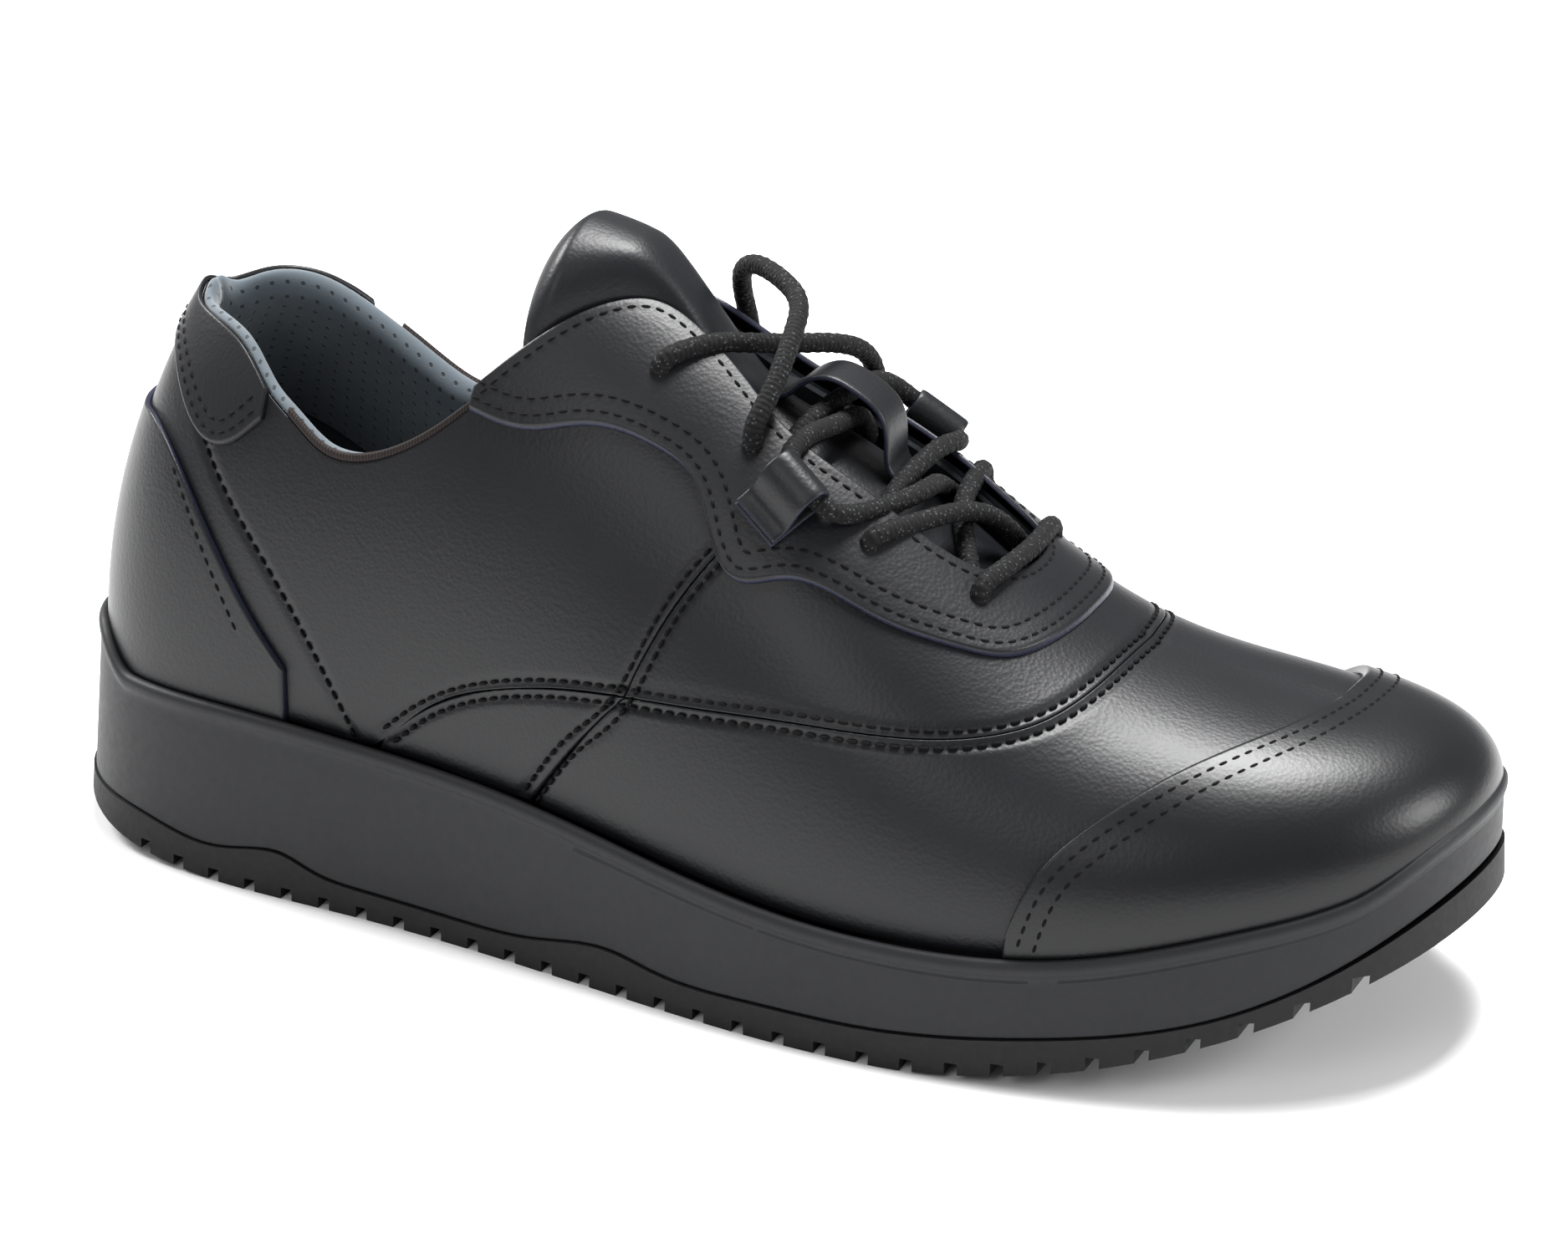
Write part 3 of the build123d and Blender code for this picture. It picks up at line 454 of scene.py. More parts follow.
def piece(name, points, faces, material, body="shoe", replaces=(), uv=None, raw=None, caps=()):
    """A smooth-shaded mesh from points in millimetres; uv and raw hold one value for each point."""
    mesh = bpy.data.meshes.new(name)
    mesh.from_pydata((np.asarray(points) / 1000).tolist(), [], [*np.asarray(faces).tolist(), *caps])
    mesh.polygons.foreach_set("use_smooth", [True] * len(mesh.polygons))
    if uv is not None:
        corner = np.empty(len(mesh.loops), int)
        mesh.loops.foreach_get("vertex_index", corner)
        mesh.uv_layers.new(name="UVMap").data.foreach_set("uv", np.asarray(uv, float)[corner].ravel())
    if raw is not None:
        mesh.attributes.new("raw", "FLOAT", "POINT").data.foreach_set("value", np.asarray(raw, float))
    mesh.materials.append(material)
    made = bpy.data.objects.new(name, mesh)
    scene.collection.objects.link(made)
    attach(made, body)
    if replaces:
        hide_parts(*replaces)
    return made


def recalculated(made, merge=.00001):
    """Merges doubles and turns all faces outwards."""
    import bmesh
    work = bmesh.new()
    work.from_mesh(made.data)
    bmesh.ops.remove_doubles(work, verts=work.verts, dist=merge)
    bmesh.ops.recalc_face_normals(work, faces=work.faces)
    work.to_mesh(made.data)
    work.free()
    return made


def nearness(points, path):
    """Shortest distance from each point to a fine line of points."""
    flat = points.reshape(-1, 3)
    best = np.full(len(flat), 1e9)
    for part in np.array_split(path, max(1, len(path) // 64)):
        best = np.minimum(best, ((flat[:, None] - part[None])**2).sum(-1).min(1))
    return np.sqrt(best).reshape(points.shape[:-1])


# %% [markdown]
# ## Seam lines
# Stitch rows come before the panels, because thread pulled tight sinks into the leather: each panel is lowered
# a little along every row that crosses it. A row is a line on the last and the height of the layer it sews.

# %% seams, edges and their stitch rows
seam_outer = line((-72, -35.3), (-61, -34.3), (-41, -34.6), (-12.5, -36.6), (16, -37), (46, -32), (61, -25.5),
                  (70, -18.5), (76, -8), (78.5, 4))
seam_inner = line((-72, 32.1), (-61, 29.5), (-41, 27.5), (-12.5, 28.5), (16, 30.5), (46, 30), (61, 26.5),
                  (70, 21), (76, 13), (78.5, 4))
CROSSING_OUTER, CROSSING_INNER = .3495, .366
foot_outer, foot_inner = outline(np.array([.1895, .808]))
second_outer = line((4.5, -25.5), (-4, -31), (-12.5, -36.6), (foot_outer + (-12.5, -36.6)) / 2, foot_outer)
second_inner = line((4.5, 23.1), (-4, 25.8), (-12.5, 28.5), (foot_inner + (-12.5, 28.5)) / 2, foot_inner)
eyestay_low = line((-53.4, -19), (-38.3, -20.5), (-28, -19.9), (-12, -20.1), (-2.7, -22), (3.2, -25.9),
                   (7, -27.3), (18.2, -25.5), (36.6, -23.1), (51.9, -18.8), (60.8, -14.3), (66.5, -6), (68, 2.5),
                   (66.5, 10), (61, 16.5), (52, 19.8), (37, 22.6), (18, 24.3), (7, 25), (3, 23.8), (-3, 20),
                   (-12, 18), (-28, 17.6), (-38, 18.2), (-53.4, 18))
eyestay_high = line((-52.8, -17.8), (-45, -15.4), (-28.8, -9.1), (-21.7, -6.8), (-12.2, -7.3), (-6, -8.5),
                    (10.4, -12.5), (29.3, -12.1), (45, -9.8), (52, -6.5), (55, -2), (55.5, 1.6), (54.5, 5),
                    (51.5, 7.8), (44, 9.4), (29, 10.6), (10, 10), (-6, 7.8), (-12, 6.6), (-21.7, 6.2), (-28.8, 8.2),
                    (-45, 14.6), (-52.8, 16.8))
cap_edge = line((70.5, -49.3), (73.5, -41.5), (76.3, -36.9), (83.7, -28.5), (92.3, -19.4), (103.6, -8), (110.5, .5),
                (113.5, 8), (110.6, 18), (103, 29), (94, 37.5), (85, 43.5), (78, 47.8))
counter_edge = line((-91.5, 28.7), (-99, 26.5), (-107, 23.5), (-117, 18.5), (-126.6, 13), (-133, 7), (-135, 0),
                    (-133, -7), (-126.6, -13.5), (-117, -19.3), (-107, -24.5), (-99, -28.2), (-91.5, -31))
tab_low = line((-98.7, 17.4), (-105, 18.6), (-112.8, 17.8), (-119, 15), (-123.4, 11.8), (-129, 6), (-131, 0),
               (-129, -6), (-123.4, -12.3), (-119, -15.5), (-112.8, -18.4), (-105, -19.4), (-98.7, -18.6))
tab_high = line((-98.5, 15.8), (-107, 12.8), (-118, 9.5), (-125, 6), (-127.5, 0), (-125, -6), (-118, -10.5),
                (-107, -14), (-98.5, -17.2))
topline_outer = line((-127.5, -.4), (-125, -6), (-118, -10.5), (-107, -14), (-98.5, -17.2), (-93, -18.7),
                     (-84.5, -20.7), (-77.5, -21.3), (-67, -21), (-58, -19.9), (-53.5, -19))
topline_inner = line((-127.5, .4), (-125, 6), (-118, 9.5), (-107, 12.8), (-98, 16), (-89, 18.4), (-80, 19.8),
                     (-67, 19.8), (-58, 19), (-53.5, 18))
BASE, OVERLAY, CAP = 0., 1.55, 2.3


def laid(real):
    """Plan place on the last of a true plan position: v = acos((1 - run_in)^(1 / fullness)) / 90 degrees."""
    swell = 0
    for _ in range(3):
        s, run_in = locate(real - swell)
        v = np.arccos(np.clip(1 - run_in, 0, 1)**(1 / fullness(s))) * 2 / np.pi
        swell = plan_normal(s) * (bulge(s) * np.sin(np.pi * v) * np.cos(np.pi / 2 * v))[..., None]
    start = outline(s)
    top_x = spine_x(start[..., 0])
    return start + v[..., None] * (np.stack([top_x, ridge_y(top_x)], -1) - start)


def over_ridge(curve, high):
    """A line carried smoothly over the ridge: above the height fraction high its true plan is one cubic arc."""
    u = np.linspace(.12, .88, 60)
    u = u[locate(curve(u))[1] < high]
    arc = cubic(u, on_last(curve(u))[:, :2])

    def carried(u):
        plan = curve(np.asarray(u, float))
        near = locate(plan)[1] > high
        plan[near] = laid(arc(np.asarray(u)[near]))
        return plan
    return carried


cap_edge = over_ridge(cap_edge, .8)
ROWS = [(beside(stretch(curve, .02, 1), offset), BASE) for curve in (seam_outer, seam_inner, second_outer, second_inner)
        for offset in (1.6, -1.8)]
ROWS += [(beside(eyestay_low, 2.3, 400), OVERLAY), (beside(eyestay_low, 5.6, 400), OVERLAY),
         (beside(eyestay_high, -2.4, 400), OVERLAY), (over_ridge(beside(cap_edge, -3.0), .75), CAP),
         (over_ridge(beside(cap_edge, -6.2), .75), CAP), (beside(tab_low, 2.2), OVERLAY), (beside(tab_low, 4.8), OVERLAY),
         (line((-119, -18.7), (-110, -24.2), (-101.7, -28.9)), OVERLAY),
         (line((-119, 17.4), (-110, 22.6), (-101.7, 26.4)), OVERLAY),
         (line((-123, -12), (-110, -20), (-93.4, -27), (-84, -31), (-76, -34.8)), BASE),
         (line((-123, 12), (-110, 19), (-93.4, 25), (-84, 28.6), (-76, 31.4)), BASE)]


def walk(row, gap):
    """Plan places along a row, a real gap in millimetres apart."""
    plan = row(np.linspace(0, 1, 900))
    solid = on_last(plan)
    along = np.r_[0, np.cumsum(np.linalg.norm(np.diff(solid, axis=0), axis=1))]
    steps = np.arange(gap / 2, along[-1], gap)
    return np.stack([np.interp(steps, along, plan[:, k]) for k in (0, 1)], -1)


row_places = [walk(row, .7) for row, _ in ROWS]
row_points = [on_last(plan) for plan in row_places]
print("stitch rows", len(ROWS), "total mm", round(sum(len(p) for p in row_points) * .7))

# %% [markdown]
# ## Leather panels
# A panel is a grid between its two lines. Its outer face is level at the layer's height, falls away in a quarter
# circle at the edges, and dips along the stitch rows. Its inner face follows below, so the panel is closed.

# %% panel helper
def panel(name, low, high, inner, outer, counts, material=upper_leather, slot="black_leather", body="shoe",
          rows=(0, 1), ends=(0, 1), edge=.7, dip=.5, cut=(), face=None, replaces=None, lower=None):
    """Leather sheet: point = last(plan, t), t = inner + (outer - inner) * sqrt(1 - (1 - d / edge)^2) near an edge
    at distance d, less dip * exp(-(r / 0.9)^2) at distance r from a stitch row."""
    u = np.linspace(*ends, counts[0])
    fine = np.array([0, .04, .12, .25, .5, .85]) * edge
    start, end = low(u), high(u)
    width = np.linalg.norm(on_last(end) - on_last(start), axis=-1).mean()
    w = np.r_[fine / width, np.linspace(1.2 * edge / width, 1 - 1.2 * edge / width, counts[1]), 1 - fine[::-1] / width]
    w = rows[0] + (rows[1] - rows[0]) * w
    plan = start[:, None] + (end - start)[:, None] * w[None, :, None]
    s, v = locate(plan)
    at_zero = rib(s, v, outer if face is None else 0.)
    rim = np.concatenate([at_zero[:, 0], at_zero[-1], at_zero[::-1, -1], at_zero[::-1][-1][::-1]])
    far = nearness(at_zero, rim)
    far[0], far[-1], far[:, 0], far[:, -1] = 0, 0, 0, 0
    rise = np.sqrt(1 - (1 - np.clip(far / edge, 0, 1))**2)
    base = face(plan) if face is not None else 0.
    height = inner + (outer - inner) * rise
    level = [p for p, (_, t) in zip(row_points, ROWS) if t == outer and face is None]
    for path in level:
        low_corner, high_corner = at_zero.reshape(-1, 3).min(0) - 3, at_zero.reshape(-1, 3).max(0) + 3
        path = path[((path > low_corner) & (path < high_corner)).all(1)]
        if len(path):
            height = height - dip * np.exp(-(nearness(at_zero, path) / .9)**2) * (rise > .3)
    over = rib(s, v, base + height)
    under = rib(s, v, base + (inner if lower is None else inner + (lower - inner) * rise))
    count = over[..., 0].size
    points = np.concatenate([over.reshape(-1, 3), under.reshape(-1, 3)])
    quads = grid_faces(*over.shape[:2])
    raw = np.where(height < inner + .75 * (outer - inner), 1., 0.) if cut else np.zeros_like(far)
    uv = np.stack([plan[..., 0], plan[..., 1]], -1).reshape(-1, 2) / 1000
    made = piece(name, points, np.concatenate([quads, quads[:, ::-1] + count]), material, body,
                 (replaces if replaces is not None else (name,)), np.concatenate([uv, uv]),
                 np.concatenate([raw.ravel(), raw.ravel()]))
    return recalculated(made)


# %% base layer: vamp, saddle panel and quarters
vamp_top = joined(stretch(seam_outer, CROSSING_OUTER, 1), stretch(seam_inner, 1, CROSSING_INNER))
saddle_top = line((7.5, -23.5), (18, -21.5), (36.5, -19.3), (50.5, -16.8), (58, -11.5), (62.5, -4), (63.5, 2.5),
                  (62.5, 8), (58, 13.4), (50.5, 16.8), (36.5, 19.6), (18, 21.2), (7.5, 22.2))
panel("vamp_skin", stretch(outline, .1905, .807), vamp_top, -1.4, BASE, (260, 90), replaces=("vamp",), edge=.3,
      ends=(-.0012, 1.0012))
panel("saddle_skin", vamp_top, saddle_top, -1.4, BASE, (200, 26), replaces=("saddle_panel",), edge=.3,
      ends=(-.003, 1.003))
quarter_low = {
    "lateral": through([*outline(np.array([.003, .02, .045, .075, .105, .1335])), (-61, -34.3), (-41, -34.6),
                        (-12.5, -36.6)]),
    "medial": through([*outline(np.array([.997, .98, .955, .925, .895, .8645])), (-61, 29.5), (-41, 27.5),
                       (-12.5, 28.5)])}
quarter_high = {
    "lateral": line((-127.5, -.4), (-125, -6), (-118, -10.5), (-107, -14), (-98.5, -17.2), (-93, -18.7),
                    (-84.5, -20.7), (-77.5, -21.3), (-67, -21), (-58, -19.9), (-53.5, -19), (-47, -17.6),
                    (-38, -16.4), (-28, -16.2), (-12, -17.6), (-3, -19.6), (7.4, -23.5)),
    "medial": line((-127.5, .4), (-125, 6), (-118, 9.5), (-107, 12.8), (-98, 16), (-89, 18.4), (-80, 19.8),
                   (-67, 19.8), (-58, 19), (-53.5, 18), (-47, 16.6), (-38, 15.4), (-28, 14.8), (-12, 15.6),
                   (-3, 17.4), (7.4, 22.2))}
below = {"lateral": (stretch(outline, .1365, .1899), stretch(seam_outer, .02, CROSSING_OUTER)),
         "medial": (stretch(outline, .8615, .8076), stretch(seam_inner, .02, CROSSING_INNER))}
for side in ("lateral", "medial"):
    panel(f"quarter_{side}_skin", quarter_low[side], quarter_high[side], -1.4, BASE, (220, 84),
          replaces=(f"quarter_{side}",), edge=.3, ends=(0, 1.001))
    panel(f"lower_quarter_{side}_skin", *below[side], -1.4, BASE, (70, 26), replaces=(f"lower_quarter_{side}",),
          edge=.3, ends=(-.02, 1.012))

# %% overlays: toe cap, eyestay, heel cover and collar tab
panel("toe_cap_skin", stretch(outline, .346, .638), cap_edge, .05, CAP, (200, 70), cap_leather, "toe_leather",
      replaces=("toe_cap",), edge=.8, dip=.6)
panel("eyestay_skin", eyestay_low, eyestay_high, .1, OVERLAY, (420, 26), replaces=("eyestay",), cut=True)
panel("heel_cover_skin", stretch(outline, -.107, .104), counter_edge, .1, OVERLAY, (180, 50),
      replaces=("heel_counter_cover",), cut=True)
panel("collar_tab_skin", tab_low, tab_high, .1, OVERLAY, (150, 20), replaces=("collar_tab",))

# %% [markdown]
# ## Stitches
# A stitch is a short run of thread that dives into the leather at both ends. One small capsule is laid out along
# every row with array arithmetic: its long axis follows the row, its height follows the last's normal.

# %% thread along every row
def stitched(name, rows, gap=2.8, length=2.1, thick=.8, body="shoe"):
    """Capsules: x = L/2 sin(a), y = r cos(a)^0.6 cos(b), z = r cos(a)^0.6 sin(b), sunk at the ends."""
    a = np.linspace(-np.pi / 2, np.pi / 2, 7)
    b = np.linspace(0, 2 * np.pi, 6, endpoint=False)
    ring = np.clip(np.cos(a), 0, 1)[:, None]**.6 * thick / 2
    shape = np.stack(np.broadcast_arrays(length / 2 * np.sin(a)[:, None], ring * np.cos(b), ring * np.sin(b)
                                         - .1 - .25 * np.sin(a)[:, None]**4), -1).reshape(-1, 3)
    quads = grid_faces(7, 6, wrap=True)
    points, faces, total = [], [], 0
    for row, level in rows:
        plan = walk(row, gap)
        normal, _, _ = directions(plan)
        centre = on_last(plan, level)
        along = np.gradient(centre, axis=0)
        along /= np.linalg.norm(along, axis=1, keepdims=True)
        across = np.cross(normal, along)
        axes = np.stack([along, across, normal], 1)
        points.append((centre[:, None] + shape @ axes).reshape(-1, 3))
        start = total + np.arange(len(plan)) * len(shape)
        faces.append((start[:, None, None] + quads[None]).reshape(-1, 4))
        total += len(plan) * len(shape)
    made = piece(name, np.concatenate(points), np.concatenate(faces), seam_thread, body, ())
    return recalculated(made, 1e-6)


stitched("base_stitches", [row for row in ROWS if row[1] == BASE])
stitched("overlay_stitches", [row for row in ROWS if row[1] != BASE])
print("stitches done")

# %% [markdown]
# ## Padded collar
# The collar is foam wrapped in suede. Its lining climbs the inner wall, bulges out at the rim and rolls over to
# meet the leather's top line, so its cross-section is a wall that ends in a half circle.

# %% collar lining and rim
def offset_places(curve, u, amount):
    """Plan places that lie amount millimetres up the last from a curve, towards the ridge."""
    plan = curve(u)
    s, v = locate(plan)
    upward = np.stack([spine_x(outline(s)[..., 0]), ridge_y(spine_x(outline(s)[..., 0]))], -1) - outline(s)
    upward /= np.linalg.norm(upward, axis=-1, keepdims=True)
    real = np.linalg.norm(on_last(plan + .3 * upward) - on_last(plan - .3 * upward), axis=-1) / .6
    return plan[:, None] + upward[:, None] * (amount / real[:, None])[..., None]


collar_low = line((-52, -24), (-60, -26), (-75, -28.5), (-90, -27.5), (-105, -25), (-120, -19), (-132.5, -11),
                  (-138.6, 0), (-132.5, 11), (-120, 18.5), (-105, 24), (-90, 26.5), (-75, 27), (-60, 25), (-52, 22))
rim_line = joined(stretch(topline_outer, .97, 0), stretch(topline_inner, 0, .97))
u = np.linspace(0, 1, 320)
fade = np.clip(np.minimum(u, 1 - u) * 5.5, 0, 1)
fade = (fade * fade * (3 - 2 * fade))[:, None]
radius = .9 + 2.3 * fade
turn = np.linspace(0, np.pi, 15)[None]
rim_t = -.35 - radius * (1 + np.cos(turn)) - .2
rim_plan = offset_places(rim_line, u, np.sin(turn) * radius * .95 + .2)
climb = np.linspace(0, 1, 26)[None, :-1]
wall_plan = collar_low(u)[:, None] + (rim_plan[:, :1] - collar_low(u)[:, None]) * climb[..., None]
pad = (1.4 + .35 * np.sin(40 * u)[:, None] * fade) * np.sin(np.pi * climb)**.7 * fade
wall_t = -4.5 + (rim_t[:, :1] + 4.5) * climb**1.6 - pad
plan = np.concatenate([wall_plan, rim_plan], 1)
collar = on_last(plan, np.concatenate([wall_t, rim_t], 1))
inner_face = collar.reshape(-1, 3)
count = len(inner_face)
under = collar.copy()
under[:, :25] = on_last(plan[:, :25], np.minimum(wall_t + 1., -1.7))
under[:, 25:] = under[:, 25:] * .86 + under[:, 25:].mean(1, keepdims=True) * .14
arc = np.r_[0, np.cumsum(np.linalg.norm(np.diff(collar[:, 30], axis=0), axis=1))]
rise = np.r_[0, np.cumsum(np.linalg.norm(np.diff(collar[160], axis=0), axis=1))]
uv = np.stack(np.meshgrid(arc, rise, indexing="ij"), -1).reshape(-1, 2) / 1000
quads = grid_faces(*collar.shape[:2])
ring = np.arange(count).reshape(collar.shape[:2])
edge = np.r_[ring[:-1, 0], ring[-1, :-1], ring[:0:-1, -1], ring[0, :0:-1]]
walls = np.stack([edge, np.roll(edge, -1), np.roll(edge, -1) + count, edge + count], -1)
collar_piece = piece("collar_padding", np.concatenate([inner_face, under.reshape(-1, 3)]),
                     np.concatenate([quads, quads[:, ::-1] + count, walls[:, ::-1]]), collar_suede, "shoe",
                     ("collar_lining", "collar_foam"), np.concatenate([uv, uv]))
recalculated(collar_piece)


# %% ribbed tape along the front of the top line
def bound_edge(name, curve, first, last, replaces):
    """A flat tube over the edge: plan place lifted by 1.3 sin(b), height -1.2 - 1.35 cos(b), closed by its ends."""
    u = np.linspace(first, last, 120)
    b = np.linspace(0, 2 * np.pi, 18, endpoint=False)[None]
    plan = offset_places(curve, u, 1.15 * np.sin(b) + .9)
    t = -1.1 - 1.5 * np.cos(b) + 0 * u[:, None]
    points = on_last(plan, t)
    along = np.r_[0, np.cumsum(np.linalg.norm(np.diff(points[:, 0], axis=0), axis=1))]
    uv = np.stack(np.meshgrid(along, np.arange(18) * .5, indexing="ij"), -1).reshape(-1, 2) / 1000
    n = points[..., 0].size
    made = piece(name, points.reshape(-1, 3), grid_faces(120, 18, wrap=True), edge_tape, "shoe", replaces,
                 uv, caps=[list(range(18)), list(range(n - 18, n))[::-1]])
    return recalculated(made)


bound_edge("edge_tape_lateral", topline_outer, .5, 1.03, ("topline_binding_lateral",))
bound_edge("edge_tape_medial", topline_inner, .5, 1.03, ("topline_binding_medial",))
print("collar done")

# %% [markdown]
# ## Tongue
# The tongue is a long pad that lies deep under the laces and swells out above the eyestay. Its skin and its
# backing are two panels over one face function, with a generous round at the edge where the foam ends.

# %% tongue pad and backing
opening = cubic([-62, -45, -28.8, -21.7, -12, 0, 12, 40], [21, 15.4, 7.8, 5.6, 6, 8, 9, 8])


def smooth(x):
    x = np.clip(x, 0, 1)
    return x * x * (3 - 2 * x)


def tongue_face(plan):
    """Height of the face: -9 under the laces; 16.5 (1 - across^6) more at the top, 5 less again at its very end."""
    across = np.clip(np.abs(plan[..., 1] - ridge_y(plan[..., 0])) / opening(plan[..., 0]), 0, 1)
    swell = 16.5 * smooth((2 - plan[..., 0]) / 31) - 6 * smooth((-39 - plan[..., 0]) / 8)
    return -9.0 + swell * (1 - across**6)


tongue_outer_edge = line((61, -5), (45, -12), (20, -15.5), (-10, -15), (-34, -17), (-46.5, -15))
tongue_inner_edge = line((61, 8), (45, 13), (20, 15), (-10, 14), (-34, 15.8), (-46.5, 14))
tongue_pad = panel("tongue_pad", tongue_outer_edge, tongue_inner_edge, -3.2, 0, (200, 90), body="tongue",
                   replaces=("tongue_outer", "tongue_foam"), edge=3.4, face=tongue_face, lower=-6.2)
panel("tongue_backing", tongue_outer_edge, tongue_inner_edge, -6.15, -5.4, (160, 60), tongue_backing,
      "tongue_backing", "tongue", edge=.6, face=tongue_face, lower=-6.95, rows=(.01, .99), ends=(.01, 1.004),
      replaces=("tongue_lining",))

# %% [markdown]
# ## Lace
# The lace is one smooth NURBS curve through its threading order. The round tube follows that curve; its surface
# is lifted in two families of crossing strands, as a braid's is.

# %% the lace's route, in metres
ROUTE = [
    (.1000, -.0290, .0485), (.0700, -.0405, .0445), (.0365, -.0425, .0490), (.0090, -.0380, .0640),
    (-.0080, -.0315, .0850), (-.0163, -.0168, .1134), (-.0170, -.0215, .1220), (-.0095, -.0120, .1240),
    (-.0033, -.0050, .1225), (.0030, .0010, .1215), (.0085, .0095, .1200), (.0110, .0190, .1160),
    (.0112, .0258, .1085), (.0120, .0208, .0955), (.0135, .0145, .1015), (.0168, .0020, .1088),
    (.0158, -.0060, .1092), (.0135, -.0180, .1102), (.0126, -.0268, .1076), (.0232, -.0312, .1006),
    (.0275, -.0260, .0984), (.0330, -.0140, .0986), (.0342, -.0030, .0980), (.0322, .0060, .0955),
    (.0322, .0145, .0905), (.0354, .0215, .0835), (.0346, .0265, .0925), (.0360, .0175, .0940),
    (.0375, .0050, .0920), (.0410, -.0020, .0892), (.0455, -.0100, .0846), (.0514, -.0184, .0771),
    (.0516, -.0225, .0866), (.0540, -.0120, .0876), (.0545, .0040, .0874), (.0520, .0198, .0866),
    (.0523, .0168, .0775), (.0494, .0110, .0825), (.0460, .0050, .0904), (.0418, -.0030, .0946),
    (.0365, -.0190, .0960), (.0310, -.0290, .0956), (.0302, -.0235, .0880), (.0281, -.0121, .0964),
    (.0288, .0030, .0994), (.0300, .0140, .1005), (.0304, .0226, .0984), (.0280, .0272, .0970),
    (.0180, .0270, .1044), (.0150, .0200, .1100), (.0139, .0110, .1120), (.0122, .0020, .1109),
    (.0109, -.0060, .1102), (.0087, -.0135, .1064), (.0055, -.0208, .1017), (.0048, -.0255, .1115),
    (.0070, -.0185, .1190), (.0066, -.0090, .1260), (.0042, .0020, .1300), (-.0035, .0090, .1320),
    (-.0120, .0145, .1325), (-.0175, .0205, .1270), (-.0156, .0250, .1125), (-.0148, .0190, .1030),
    (-.0075, .0265, .0640), (.0115, .0300, .0520), (.0395, .0360, .0455), (.0710, .0385, .0445),
    (.1010, .0320, .0490),
]
LACE = .004
line_data = bpy.data.curves.new("lace_line", "CURVE")
line_data.dimensions = "3D"
spline = line_data.splines.new("NURBS")
spline.points.add(len(ROUTE) - 1)
spline.points.foreach_set("co", np.c_[np.array(ROUTE), np.ones(len(ROUTE))].ravel())
spline.order_u = 3
spline.use_endpoint_u = True
spline.resolution_u = 14
line_object = bpy.data.objects.new("lace_line", line_data)
scene.collection.objects.link(line_object)
bpy.context.view_layer.update()
drawn = bpy.data.meshes.new_from_object(line_object.evaluated_get(bpy.context.evaluated_depsgraph_get()))
centre = np.empty(len(drawn.vertices) * 3, np.float32)
drawn.vertices.foreach_get("co", centre)
centre = centre.reshape(-1, 3).astype(float)
bpy.data.objects.remove(line_object)
lace_walk = np.r_[0, np.cumsum(np.linalg.norm(np.diff(centre, axis=0), axis=1))]
lace_length = lace_walk[-1]
print("lace length", round(lace_length, 3), "m from", len(centre), "points")


# %% braided tube round a line
def carried_frames(path):
    """Tangent, side and up along a path: each side is the one before it, made square to the new tangent."""
    tangent = np.gradient(path, axis=0)
    tangent /= np.linalg.norm(tangent, axis=1, keepdims=True)
    side = np.zeros_like(path)
    side[0] = np.cross(tangent[0], (0, 0, 1.))
    for i in range(1, len(path)):
        side[i] = side[i - 1] - tangent[i] * (side[i - 1] @ tangent[i])
        side[i] /= np.linalg.norm(side[i])
    side[0] /= np.linalg.norm(side[0])
    return tangent, side, np.cross(tangent, side)


steps = np.linspace(0, lace_length, 2400)
path = np.stack([np.interp(steps, lace_walk, centre[:, k]) for k in range(3)], -1)
_, side_way, up_way = carried_frames(path)
b = np.linspace(0, 2 * np.pi, 24, endpoint=False)[None]
twist = steps[:, None] * 2 * np.pi / .0075
braid = np.abs(np.sin(3 * b + 1.5 * twist)) * .5 + np.abs(np.sin(3 * b - 1.5 * twist)) * .5
shell = LACE / 2 * (.9 + .13 * braid)
points = path[:, None] + (np.cos(b) * shell)[..., None] * side_way[:, None] + (np.sin(b) * shell)[..., None] * up_way[:, None]
uv = np.stack(np.broadcast_arrays(steps[:, None], b * LACE / 2), -1).reshape(-1, 2)
n = points[..., 0].size
lace_piece = piece("lace_cord", points.reshape(-1, 3) * 1000, grid_faces(2400, 24, wrap=True), lace_braid, "shoe",
                   ("lace",), uv, caps=[list(range(24)), list(range(n - 24, n))[::-1]])
recalculated(lace_piece, 1e-7)

# %% [markdown]
# ## Keeper and side loops
# The keeper is a strap sewn to the tongue at both ends that arches over the laces. The two side loops are folded
# straps: the lace runs through the fold, and both tails are sewn to the eyestay.

# %% straps
def strap(name, path, side, width, thick, material, body, replaces):
    """A strap of rectangular section with rounded edges along a path: side is across it, thick square to both."""
    path = np.asarray(path, float)
    along = np.gradient(path, axis=0)
    along /= np.linalg.norm(along, axis=1, keepdims=True)
    side = np.broadcast_to(np.asarray(side, float), path.shape)
    side = side - along * (side * along).sum(1, keepdims=True)
    side /= np.linalg.norm(side, axis=1, keepdims=True)
    out = np.cross(side, along)
    a = np.linspace(0, 2 * np.pi, 28, endpoint=False)
    flat = np.sign(np.cos(a)) * np.abs(np.cos(a))**.22 * width / 2
    high = np.sign(np.sin(a)) * np.abs(np.sin(a))**.55 * thick / 2
    points = path[:, None] + side[:, None] * flat[None, :, None] + out[:, None] * high[None, :, None]
    rows = len(path)
    raw = np.broadcast_to((np.abs(flat) > width / 2 * .985)[None] * 1., (rows, 28)).copy()
    raw[[0, -1]] = 1
    n = rows * 28
    made = piece(name, points.reshape(-1, 3), grid_faces(rows, 28, wrap=True), material, body, replaces,
                 np.zeros((n, 2)), raw.ravel(),
                 caps=[list(range(28)), list(range(n - 28, n))[::-1]])
    return recalculated(made)


